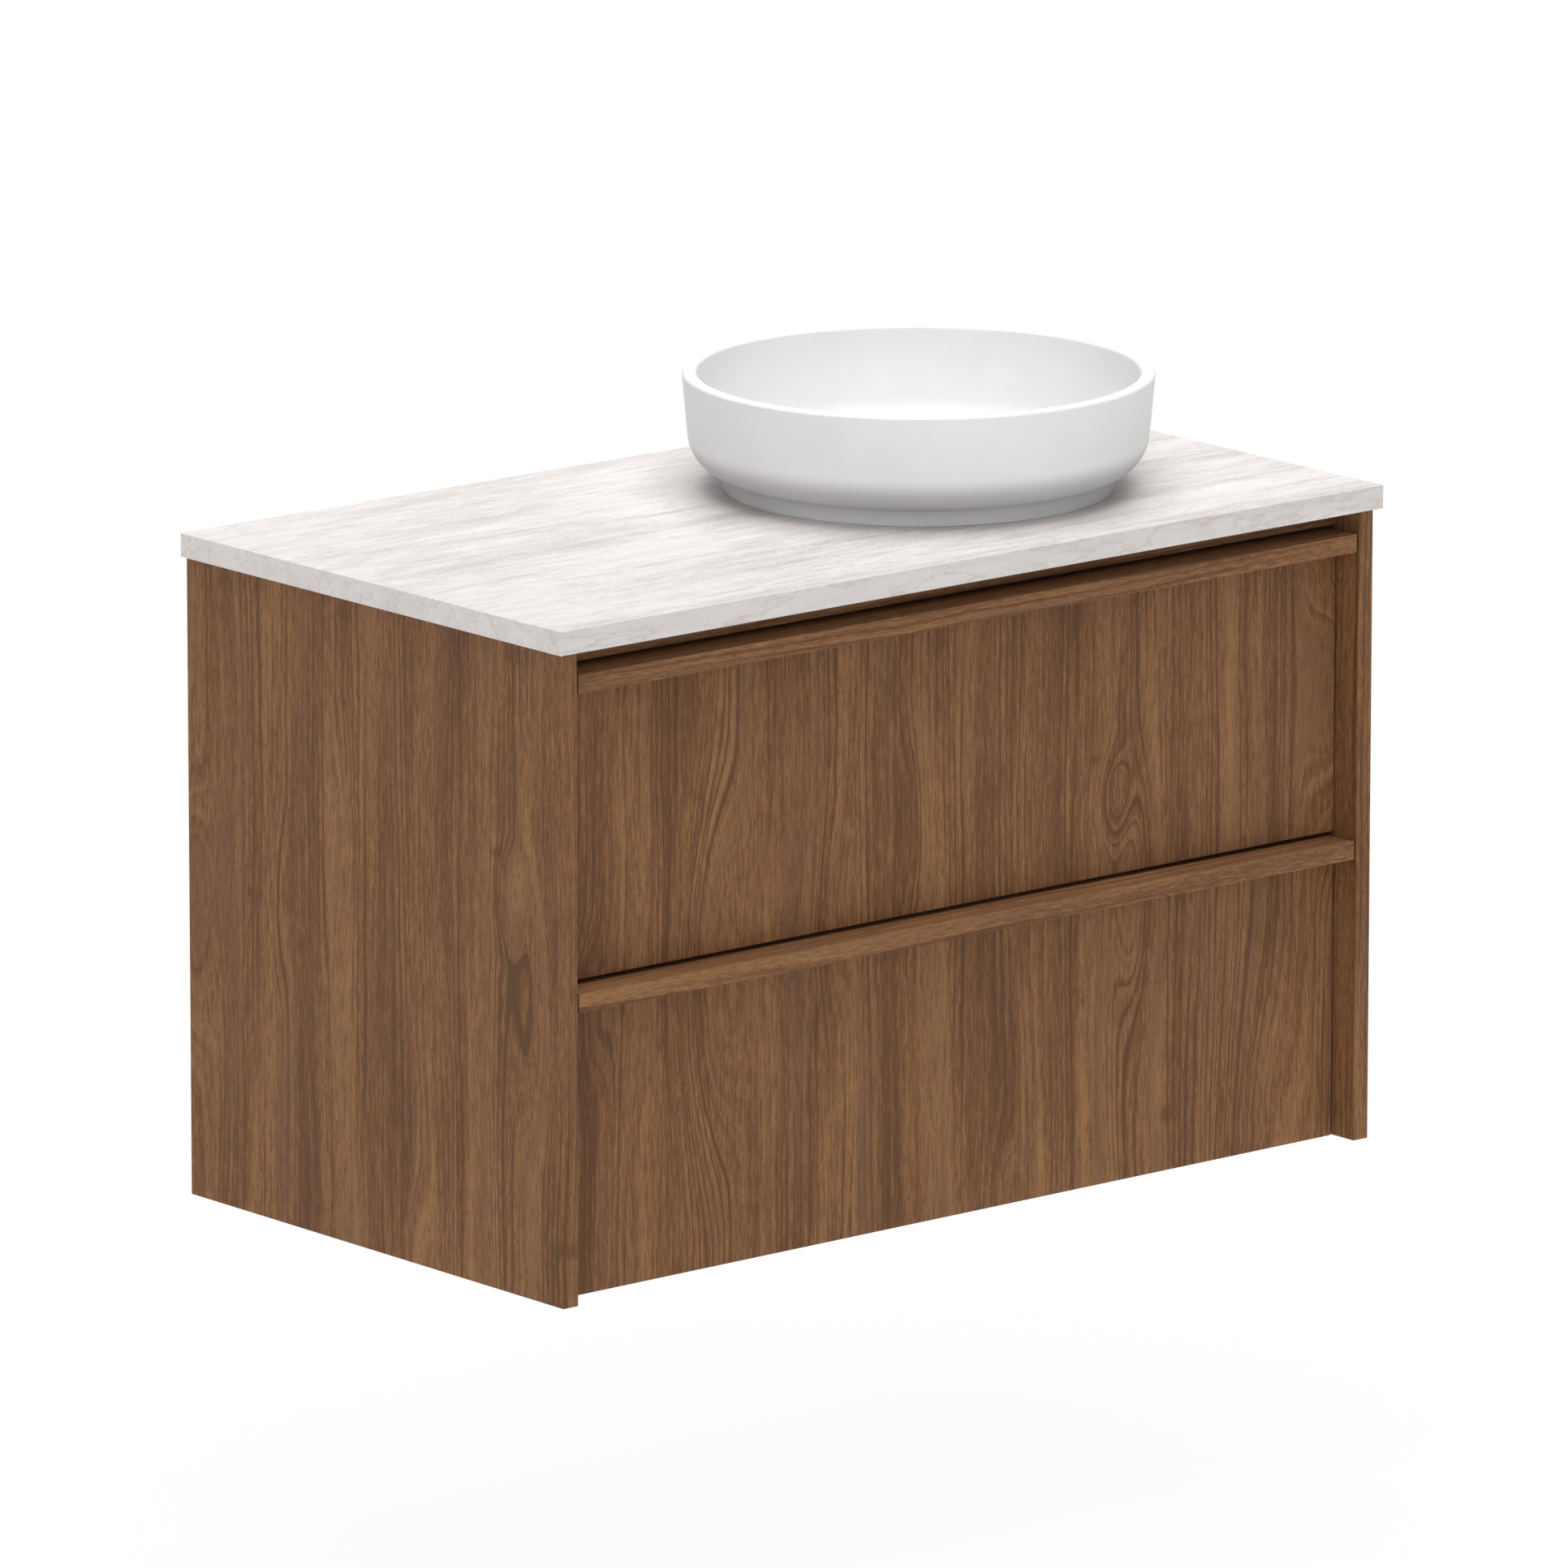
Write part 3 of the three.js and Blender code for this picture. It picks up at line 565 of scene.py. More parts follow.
def melamine(boards):
    """Pale melamine paper pressed on chipboard: an even tone with a fine pearl emboss."""
    material, tree, shader = start_material("pressed melamine")
    place = place_in_millimetres(tree)
    cloud = blotches(tree, place, MELAMINE_CLOUD)
    pearl = blotches(tree, place, MELAMINE_PEARL, detail=2)
    tone = weighted_sum(tree, [(cloud, 0.5), (pearl, 0.35)], 0.1)
    colour = shaded(tree, tone, boards.pale, share=0.86, low=0.1, high=0.7)
    link_finish(tree, shader, colour, weighted_sum(tree, [(pearl, 0.2)], 0.38), pearl, PEARL_DEPTH)
    shader.inputs["IOR"].default_value = PLAIN_IOR
    return material


# Sizes of the stone's patterns in millimetres along X, Y and Z.
SWIRL = (170, 60, 60)
SWIRL_REACH = (0, 14, 14)  # how far the swirl bends the streaks
STONE_CLOUD = (620, 46, 46)
STREAK = (70, 9, 9)
CRYSTAL = (2.2, 2.2, 2.2)  # real grains are under a millimetre, drawn coarser so that they show
VEIN = (170, 30, 30)
VEIN_LINE = 0.022  # how far from the noise's middle value the line of a vein fades out
VEIN_SHARE = 0.6
PIT = (7, 2, 2)
FILLED_PITS = (0.69, 0.78)  # values of the noise at which a pit begins and is full
PIT_DEPTH = 0.08
EDGE_LIGHT_TONE = 0.66  # painted light: how pale the cut edges are made against the top, where the streaks are also fainter
EDGE_SHARE = 0.45  # how much of the streaks the cut edges keep, the rest being the painted pale tone


def travertine(stone):
    """Honed vein-cut travertine: long wavy streaks along the top, faint veins and filled pits.

    The cut edges show less of the streaks than the top does, and are made paler than the top, which is
    painted light.
    """
    material, tree, shader = start_material("honed travertine")
    place = place_in_millimetres(tree)
    scale = tuple(1 / s for s in SWIRL)
    swirl = add_node(tree, "VectorMath", {0: place, 1: scale}, operation="MULTIPLY").outputs[0]
    drift = add_node(tree, "TexNoise", {"Vector": swirl, "Scale": 1, "Detail": 3}).outputs["Color"]
    inputs = {0: drift, 1: (0.5, 0.5, 0.5)}
    centred = add_node(tree, "VectorMath", inputs, operation="SUBTRACT").outputs[0]
    inputs = {0: centred, 1: SWIRL_REACH, 2: place}
    wavy = add_node(tree, "VectorMath", inputs, operation="MULTIPLY_ADD").outputs[0]
    cloud = blotches(tree, wavy, STONE_CLOUD, detail=5, roughness=0.68)
    streak = blotches(tree, wavy, STREAK, detail=6, roughness=0.72)
    crystal = blotches(tree, place, CRYSTAL, detail=2, roughness=0.6)
    vein = blotches(tree, wavy, VEIN, detail=5, roughness=0.6)
    from_vein = add_node(tree, "Math", {0: vein, 1: 0.5}, operation="SUBTRACT").outputs[0]
    from_vein = add_node(tree, "Math", {0: from_vein}, operation="ABSOLUTE").outputs[0]
    inputs = {"Value": from_vein, "From Min": VEIN_LINE, "From Max": 0}
    line = add_node(tree, "MapRange", inputs, interpolation_type="SMOOTHSTEP").outputs[0]
    pit = blotches(tree, wavy, PIT, detail=1)
    inputs = {"Value": pit, "From Min": FILLED_PITS[0], "From Max": FILLED_PITS[1]}
    pitted = add_node(tree, "MapRange", inputs, interpolation_type="SMOOTHSTEP").outputs[0]
    tone = mean_tone(tree, 0.56, [(cloud, 1.7), (streak, 2.1), (crystal, 1.0)], marks=[(pitted, -0.3)])
    # Painted light: faces that are not level get a paler tone with fainter streaks.
    facing = add_node(tree, "SeparateXYZ", {0: add_node(tree, "NewGeometry").outputs["Normal"]})
    level = add_node(tree, "Math", {0: facing.outputs["Z"]}, operation="ABSOLUTE").outputs[0]
    share = weighted_sum(tree, [(level, 1 - EDGE_SHARE)], EDGE_SHARE)
    tone = add_node(tree, "Mix", {0: share, 2: EDGE_LIGHT_TONE, 3: tone}).outputs[0]
    stops = [(0, stone.dark), (0.9, stone.light), (0.5, stone.middle)]
    colour = add_node(tree, "ValToRGB", {"Fac": tone}, stops).outputs["Color"]
    share = add_node(tree, "Math", {0: line, 1: VEIN_SHARE}, operation="MULTIPLY").outputs[0]
    inputs = {0: share, 6: colour, 7: (*stone.vein, 1)}
    colour = add_node(tree, "Mix", inputs, data_type="RGBA").outputs[2]
    rough = weighted_sum(tree, [(crystal, 0.15), (streak, 0.1)], 0.32)
    height = weighted_sum(tree, [(crystal, 0.15), (pitted, -0.8)], 0.85)
    link_finish(tree, shader, colour, rough, height, PIT_DEPTH)
    shader.inputs["IOR"].default_value = PLAIN_IOR
    return material


# Sizes of the glaze's patterns in millimetres.
GLAZE_CLOUD = (45, 45, 45)
GLAZE_GRAIN = (1.1, 1.1, 1.1)  # the real grain is a tenth of that, drawn coarser so that it shows
SPRAY_RIPPLE = (9, 9, 9)
RIPPLE_DEPTH = 0.03
UNDERSIDE_SHADE = (-0.08, -0.62)  # upward parts of the normal between which the painted underside shade goes from none to full
GLAZE_END = (3, -2)  # heights above the foot ring's top between which the glaze gives way to the unglazed colour: a real bare foot, with its tone painted shade


def matt_glaze(basin, foot):
    """Fireclay under a satin-matt white glaze: nearly even, with the faint ripple of a sprayed coat.

    Painted shade: where the wall turns under, the faces turned downward are darkened towards the unglazed
    colour.
    The foot ring is unglazed, which is real, but its tone is painted shade, fullest at its top and less and
    less towards the stone.
    """
    material, tree, shader = start_material("matt white glaze")
    place = place_in_millimetres(tree)
    cloud = blotches(tree, place, GLAZE_CLOUD)
    grain = blotches(tree, place, GLAZE_GRAIN, detail=2)
    ripple = blotches(tree, place, SPRAY_RIPPLE, detail=1)
    tone = weighted_sum(tree, [(cloud, 0.6), (grain, 0.4)])
    colour = shaded(tree, tone, basin.glaze, share=0.965, low=0.3, high=0.6)
    # Painted shade: downward faces of the wall are darkened towards the unglazed colour.
    facing = add_node(tree, "SeparateXYZ", {0: add_node(tree, "NewGeometry").outputs["Normal"]})
    inputs = {"Value": facing.outputs["Z"], "From Min": UNDERSIDE_SHADE[0], "From Max": UNDERSIDE_SHADE[1]}
    under = add_node(tree, "MapRange", inputs, interpolation_type="SMOOTHSTEP").outputs[0]
    # Painted shade on the foot ring: full at its top, less and less towards the stone.
    height = add_node(tree, "SeparateXYZ", {0: place}).outputs["Z"]
    ring_top = (foot + basin.foot_height) * PER_METRE
    glazed, bare = (ring_top + above for above in GLAZE_END)
    inputs = {"Value": height, "From Min": glazed, "From Max": bare}
    ring = add_node(tree, "MapRange", inputs, interpolation_type="SMOOTHSTEP").outputs[0]
    inputs = {"Value": height, "From Min": foot * PER_METRE, "From Max": ring_top}
    foot_shade = add_node(tree, "MapRange", inputs).outputs[0]
    ring = add_node(tree, "Math", {0: ring, 1: foot_shade}, operation="MULTIPLY").outputs[0]
    share = add_node(tree, "Math", {0: under, 1: ring}, operation="MAXIMUM").outputs[0]
    inputs = {0: share, 6: colour, 7: (*basin.clay_and_shade, 1)}
    colour = add_node(tree, "Mix", inputs, data_type="RGBA").outputs[2]
    rough = weighted_sum(tree, [(cloud, 0.1), (grain, 0.08), (share, 0.2)], 0.42)
    coat = weighted_sum(tree, [(grain, 0.2), (ripple, 0.8)])
    link_finish(tree, shader, colour, rough, coat, RIPPLE_DEPTH)
    shader.inputs["IOR"].default_value = PLAIN_IOR
    return material


# Sizes of the metals' and the rubber's patterns in millimetres.
WATER_MARKS = (9, 9, 9)
HAZE = (30, 30, 4)
DRAWN_LINES = (0.8, 45, 0.8)  # real lines are under a tenth wide, drawn coarser so that they show
DRAWN_DEPTH = 0.02
SPANGLE = (6, 9, 6)
DUST = (0.9, 0.9, 0.9)  # real dust is far finer, drawn coarser so that it shows
DUST_DEPTH = 0.03


def polished_chrome(fittings):
    """Brass with a polished chrome plate: a mirror, with faint water marks and polishing haze."""
    material, tree, shader = start_material("polished chrome plate")
    place = place_in_millimetres(tree)
    marks = blotches(tree, place, WATER_MARKS, detail=4, roughness=0.65)
    haze = blotches(tree, place, HAZE, detail=2)
    colour = shaded(tree, marks, fittings.chrome, share=0.9, low=0.35, high=0.55)
    link_finish(tree, shader, colour, weighted_sum(tree, [(marks, 0.12), (haze, 0.08)], 0.02))
    shader.inputs["Metallic"].default_value = 1
    return material


def zinc_plate(fittings):
    """Cold-rolled steel with bright zinc plate: drawn along the runner, with a soft spangle."""
    material, tree, shader = start_material("bright zinc plate")
    place = place_in_millimetres(tree)
    drawn = blotches(tree, place, DRAWN_LINES, detail=3, roughness=0.6)
    spangle = blotches(tree, place, SPANGLE, detail=2)
    tone = weighted_sum(tree, [(drawn, 0.6), (spangle, 0.5)], -0.05)
    colour = shaded(tree, tone, fittings.zinc, share=0.72, low=0.25, high=0.65)
    rough = weighted_sum(tree, [(drawn, 0.25), (spangle, 0.1)], 0.2)
    link_finish(tree, shader, colour, rough, drawn, DRAWN_DEPTH)
    shader.inputs["Metallic"].default_value = 1
    return material


def moulded_rubber(name, colour, roughness):
    """Moulded rubber: an even tone with a fine dusty grain."""
    material, tree, shader = start_material(name)
    grain = blotches(tree, place_in_millimetres(tree), DUST, detail=2)
    tinted = shaded(tree, grain, colour, share=0.8, low=0.3, high=0.7)
    link_finish(tree, shader, tinted, weighted_sum(tree, [(grain, 0.15)], roughness), grain, DUST_DEPTH)
    return material


def black_rubber(fittings):
    """Seals of black rubber."""
    return moulded_rubber("moulded rubber", fittings.rubber, 0.6)


def clear_rubber(fittings):
    """Bumpers of clear soft rubber, cloudy with dust."""
    return moulded_rubber("clear rubber", fittings.clear, 0.35)


def cover_plastic(boards):
    """Covers of moulded plastic in the colour of the boards."""
    return moulded_rubber("moulded cover plastic", boards.pale, 0.45)


# Pieces


def middle_of(node):
    """Centre of a node's box."""
    low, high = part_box(node)
    return (low + high) / 2


def round_box(node):
    """A node's lowest and highest corners, and half its width along X, its radius where it is round."""
    low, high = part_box(node)
    return low, high, (high.x - low.x) / 2


def nodes_in(slot):
    """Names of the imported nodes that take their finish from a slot."""
    return [entry["node"] for entry in frame["record"]["subparts"] if entry.get("material_slot") == slot]


LEFT_SIDE_SHIFT = (-251, 0, 0)  # these choose the part of the sheet that each side is cut from
RIGHT_SIDE_SHIFT = (320, 0, 0)


class VANITY_OT_boards(bpy.types.Operator):
    """Dress the walnut boards and the pale drawer boxes"""

    bl_idname = "vanity.boards"
    bl_label = "Boards"

    def execute(self, context):
        boards = context.scene.vanity_boards
        fronts = ("upper_drawer_front", "lower_drawer_front")
        level = (
            "upper_handle_rail", "lower_handle_rail", "top_front_rail", "top_back_rail",
            "hanging_rail", "lower_back_rail", "bottom_panel",
        )
        for nodes, name, turn, shift in (
            (fronts, "walnut fronts", (0, 0, 0), (0, 0, 0)),
            (("left_side_panel",), "walnut left side", (0, 0, QUARTER), LEFT_SIDE_SHIFT),
            (("right_side_panel",), "walnut right side", (0, 0, -QUARTER), RIGHT_SIDE_SHIFT),
            (level, "walnut level boards", (0, QUARTER, 0), (PLAIN_SHEET, 0, 0)),
        ):
            dress(nodes, walnut(name, boards, turn, shift), boards.arris)
        dress(nodes_in("drawer_board"), melamine(boards), boards.arris)
        return {"FINISHED"}


class VANITY_OT_stone_top(bpy.types.Operator):
    """Dress the stone top"""

    bl_idname = "vanity.stone_top"
    bl_label = "Stone top"

    def execute(self, context):
        stone = context.scene.vanity_stone
        dress(("stone_top",), travertine(stone), stone.arris, segments=3)
        return {"FINISHED"}


# Steps along the arcs of the basin's section.
BEND_STEPS = 40
INNER_BEND_STEPS = 30
LIP_STEPS = 10
FOOT_STEPS = 6
HOLLOW_END = 7  # point of the outer bend up to which the hollow over the foot takes its place
RECESS_GAP = 0.3 * MM  # round the waste's flange
RECESS_SHELF = 9.3 * MM  # what the flange rests on
RECESS_EDGE = (2 * MM, 0.5 * MM)  # width and depth of the eased edge round the recess
DISH_LIFT = 0.02 * MM  # rise of the dish over that width


class VANITY_OT_basin(bpy.types.Operator):
    """Turn the basin"""

    bl_idname = "vanity.basin"
    bl_label = "Basin"

    def execute(self, context):
        basin = context.scene.vanity_basin
        low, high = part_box("basin")
        middle = middle_of("basin")
        centre = (middle.x, middle.y, low.z)
        surface = turned(self.profile(basin, low, high), centre, sides=basin.sides)
        glaze = matt_glaze(basin, low.z)
        add_piece("turned_basin", [surface], "root", glaze, ["basin"])
        return {"FINISHED"}

    def profile(self, basin, low, high):
        """The section, anticlockwise from the hollow under the floor.

        The outer bend touches the leaning wall and ends on the top of the foot, so its end angle
        follows from where that foot stands.
        """
        radius = (high.x - low.x) / 2
        height = high.z - low.z
        slope = math.tan(basin.lean)
        foot_top = radius - basin.foot_inset
        foot_low = foot_top - basin.foot_lean
        reach = (
            foot_top - radius + basin.bend * math.cos(basin.lean)
            + (height - basin.foot_height + basin.bend * math.sin(basin.lean)) * slope
        )
        bend_end = basin.lean + math.acos(reach * math.cos(basin.lean) / basin.bend)
        bend_centre = (
            foot_top - basin.bend * math.cos(bend_end),
            basin.foot_height + basin.bend * math.sin(bend_end),
        )
        lip_height = height - basin.lip
        floor_height = basin.hollow + basin.floor
        inner_height = floor_height + basin.inner_bend
        inner_wall = (
            radius - basin.wall
            - (lip_height - inner_height + basin.inner_bend * math.sin(basin.lean)) * slope
        )
        inner_centre = (inner_wall - basin.inner_bend * math.cos(basin.lean), inner_height)
        recess = round_box("waste_body")[2] + RECESS_GAP
        hole = recess - RECESS_SHELF
        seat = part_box("waste_top_seal")[0].z - low.z
        dish = floor_height - basin.fall
        bend = arc(bend_centre, basin.bend, -bend_end, -basin.lean, BEND_STEPS)
        foot_middle = ((foot_low + foot_top) / 2, basin.foot_height / 2)
        foot = [(foot_low - basin.foot_width, basin.hollow), (foot_low - basin.foot_width, 0), (foot_low, 0)]
        over_foot = [foot_middle, bend[0], bend[HOLLOW_END]]
        return np.vstack([
            eased([*foot, foot_middle], basin.foot_edge, FOOT_STEPS, closed=False),
            eased(over_foot, basin.foot_hollow, FOOT_STEPS, closed=False)[1:],
            bend[HOLLOW_END + 1:],
            arc((radius - basin.lip, lip_height), basin.lip, 0, QUARTER, LIP_STEPS),
            arc((radius - basin.wall + basin.lip, lip_height), basin.lip, QUARTER, math.pi, LIP_STEPS),
            arc(inner_centre, basin.inner_bend, -basin.lean, -QUARTER, INNER_BEND_STEPS),
            (recess + RECESS_EDGE[0], dish + DISH_LIFT),
            (recess, dish - RECESS_EDGE[1]),
            (recess, seat),
            (hole, seat),
            (hole, basin.hollow),
        ])


# Sizes of the waste and the trap, radii where no other measure is named.
WASTE_BORE = 17 * MM
WASTE_TUBE = 20 * MM
TUBE_FIT = WASTE_TUBE + 0.3 * MM
THREAD_PITCH = 2.309 * MM
THREAD_DEPTH = 1.1 * MM
CHAMFER = 1 * MM
ARRIS = 0.3 * MM  # of turned metal
HUB_DROP = 18 * MM  # from the flange's top to the hub's
HUB_HEIGHT = 10 * MM
HUB_BORE = 4.3 * MM
HUB_RADIUS = 8 * MM
HUB_ARMS = 3
ARM_WIDTH = 3 * MM
CONE = 10 * MM  # how far the cone seal's slope runs in
HEX_CHAMFER = (0.6 * MM, 1.8 * MM)  # in from the flats, and down at the corners
CAP_RISE = 1.1 * MM
CAP_ROUNDING = 2 * MM
SEAL_WIDTH = 4 * MM
STEM_RADIUS = 4 * MM
STEM_COLLAR = 4 * MM
PIPE_BORE = 14.5 * MM
PIPE_WALL = 1.5 * MM
PIPE_FIT = 16.3 * MM
COLLAR_HEIGHT = 2.5 * MM
NUT_EDGE = 1.4 * MM
NUT_LIP = 4 * MM
NECK = 21 * MM
NECK_GAP = 0.3 * MM
BOTTLE_WALL = 4 * MM
SHOULDER = 30 * MM  # from the outlet's line up to the bottle's shoulder
GROOVE = 0.8 * MM
CUP_FLOOR = 3 * MM
CUP_ROUNDING = 8 * MM
NUT_SIDES = 192
CUP_SIDES = 256


def cut_thread(radius, angle, height, outer, low, high):
    """Cuts a right-hand thread: the radius loses depth times a triangle wave of height / pitch - turns."""
    turns = height / THREAD_PITCH - angle / (2 * np.pi)
    groove = 2 * np.abs(turns % 1 - 0.5)
    along = (np.abs(radius - outer) < SAME) & (height > low) & (height < high)
    return radius - along * THREAD_DEPTH * groove, height


def cut_flats(radius, angle, height, across):
    """Cuts six flats: the radius is at most half the width across them over the cosine from their middle."""
    from_middle = (angle % (np.pi / 3)) - np.pi / 6
    return np.minimum(radius, across / 2 / np.cos(from_middle)), height


def cut_flutes(radius, angle, height, outer, count=24, depth=0.7 * MM):
    """Cuts upright flutes into the widest face: the radius loses a share of the depth that repeats."""
    wave = np.clip(np.cos(count * angle), 0, 1) ** 0.5
    along = np.abs(radius - outer) < SAME
    return radius - along * depth * wave, height


def upright_face(radius, heights):
    """Points of one radius at several heights."""
    return np.stack([np.full_like(heights, radius), heights], -1)


class TurnedFittings:
    """What the waste and the trap share: their finishes, their upright line, and how they add a piece."""

    def prepare(self, context, node):
        """Takes the finishes, and the upright line through a node's middle."""
        fittings = context.scene.vanity_fittings
        self.sides = fittings.sides
        self.chrome = finish_named("polished chrome plate", polished_chrome, fittings)
        self.rubber = finish_named("moulded rubber", black_rubber, fittings)
        middle = middle_of(node)
        self.line = (middle.x, middle.y, 0)

    def add_metal(
        self, name, node, profile, body="root", axis=UP, sides=0, reshape=None, extra=(), crease=35
    ):
        """Turns one chromed piece, about the upright line or the outlet's line, that stands for a node."""
        centre = self.line if axis == UP else self.outlet_line
        surface = turned(profile, centre, axis, sides or self.sides, reshape)
        add_piece(name, [surface, *extra], body, self.chrome, [node], crease)

    def add_seal(self, name, node, profile, body="root"):
        """Turns one rubber piece about the upright line that stands for a node."""
        seal = turned(profile, self.line, sides=self.sides)
        add_piece(name, [seal], body, self.rubber, [node])

    def add_ring(self, name, node, inner, outer, ease, body="root"):
        """A flat rubber ring as high as the node that it stands for."""
        low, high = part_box(node)
        self.add_seal(name, node, rectangle(inner, outer, low.z, high.z, ease), body)


class VANITY_OT_waste(TurnedFittings, bpy.types.Operator):
    """Turn the waste, its seals, its nut and its plug"""

    bl_idname = "vanity.waste"
    bl_label = "Waste"

    def execute(self, context):
        self.prepare(context, "waste_body")
        self.add_body()
        self.add_seals()
        self.add_back_nut()
        self.add_plug()
        return {"FINISHED"}

    def add_body(self):
        """The flanged tube, threaded outside, with a hub on three arms that guides the plug's stem."""
        low, high, flange = round_box("waste_body")
        under_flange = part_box("waste_top_seal")[1].z
        edge = (high.z - under_flange) / 2
        thread_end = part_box("stone_top")[0].z
        rows = np.arange(low.z + 2 * CHAMFER, thread_end, THREAD_PITCH / 6)
        mouth = (
            (5 * MM, 0.2 * MM),
            (4 * MM, 0.5 * MM),
            (0.8 * MM, 0.9 * MM),
            (0, 1.6 * MM),
        )
        profile = np.vstack([
            (WASTE_BORE, low.z),
            (WASTE_TUBE - CHAMFER, low.z),
            (WASTE_TUBE, low.z + CHAMFER),
            upright_face(WASTE_TUBE, rows),
            (WASTE_TUBE, under_flange - CHAMFER),
            (WASTE_TUBE + CHAMFER, under_flange),
            (flange - ARRIS, under_flange),
            (flange, under_flange + ARRIS),
            arc((flange - edge, high.z - edge), edge, 0, QUARTER, 6),
            [(WASTE_BORE + out, high.z - down) for out, down in mouth],
        ])
        thread = partial(cut_thread, outer=WASTE_TUBE, low=low.z + 1.5 * CHAMFER, high=thread_end)
        top = high.z - HUB_DROP
        bottom = top - HUB_HEIGHT
        corners = [(HUB_BORE, bottom), (HUB_RADIUS, bottom), (HUB_RADIUS, top), (HUB_BORE, top)]
        hub = turned(eased(corners, 0.8 * MM), self.line, sides=36)
        across, along, _ = self.line
        arm = block(
            (across + HUB_RADIUS - 0.5 * MM, along - ARM_WIDTH / 2, bottom + ARRIS),
            (across + WASTE_BORE + 1 * MM, along + ARM_WIDTH / 2, top - ARRIS),
        )
        arms = [spun(arm, self.line, turn * 2 * math.pi / HUB_ARMS) for turn in range(HUB_ARMS)]
        self.add_metal("threaded_waste", "waste_body", profile, reshape=thread, extra=[hub, *arms])

    def add_seals(self):
        """The flat seal under the flange, and the cone seal under the stone."""
        _, _, outer = round_box("waste_top_seal")
        self.add_ring("flange_seal", "waste_top_seal", TUBE_FIT, outer, 0.5 * MM)
        low, high, outer = round_box("waste_cone_seal")
        profile = eased([
            (TUBE_FIT, low.z), (outer - CONE, low.z), (outer, (low.z + high.z) / 2),
            (outer, high.z), (TUBE_FIT, high.z),
        ], 0.8 * MM)
        self.add_seal("cone_seal", "waste_cone_seal", profile)

    def add_back_nut(self):
        """A hexagon nut with chamfered corners."""
        low, high, corner = round_box("waste_back_nut")
        across = high.y - low.y
        mouth = 0.8 * MM
        aside, down = HEX_CHAMFER
        flat = across / 2 - aside
        profile = [
            (TUBE_FIT + mouth, low.z), (flat, low.z), (corner, low.z + down),
            (corner, high.z - down), (flat, high.z), (TUBE_FIT + mouth, high.z),
            (TUBE_FIT, high.z - mouth), (TUBE_FIT, low.z + mouth),
        ]
        flats = partial(cut_flats, across=across)
        self.add_metal("hexagon_nut", "waste_back_nut", profile, sides=96, reshape=flats, crease=20)

    def add_plug(self):
        """The domed cap, its seal and the stem, which lift together."""
        low, high, outer = round_box("waste_cap")
        crown = outer - CAP_ROUNDING
        dome = [(crown * t, high.z - CAP_RISE * t * t) for t in np.linspace(1, 0, 10)]
        profile = np.vstack([
            (0, low.z),
            (outer - 0.6 * MM, low.z),
            (outer, low.z + 0.6 * MM),
            arc((crown, high.z - CAP_RISE - CAP_ROUNDING), CAP_ROUNDING, 0, QUARTER, 8),
            dome[1:],
        ])
        self.add_metal("domed_cap", "waste_cap", profile, "waste_plug", sides=96)
        _, _, outer = round_box("cap_seal")
        self.add_ring("moulded_cap_seal", "cap_seal", outer - SEAL_WIDTH, outer, 0.5 * MM, "waste_plug")
        low, high, collar = round_box("waste_stem")
        steps = (
            (0, 0), (collar, 0), (collar, STEM_COLLAR), (STEM_RADIUS, STEM_COLLAR),
            (STEM_RADIUS, 14 * MM), (3.4 * MM, 14.6 * MM), (3.4 * MM, 16 * MM), (STEM_RADIUS, 16.6 * MM),
        )
        outline = [(radius, low.z + up) for radius, up in steps]
        profile = eased([*outline, (STEM_RADIUS, high.z), (0, high.z)], 0.4 * MM, closed=False)
        self.add_metal("turned_stem", "waste_stem", profile, "waste_plug", sides=36)


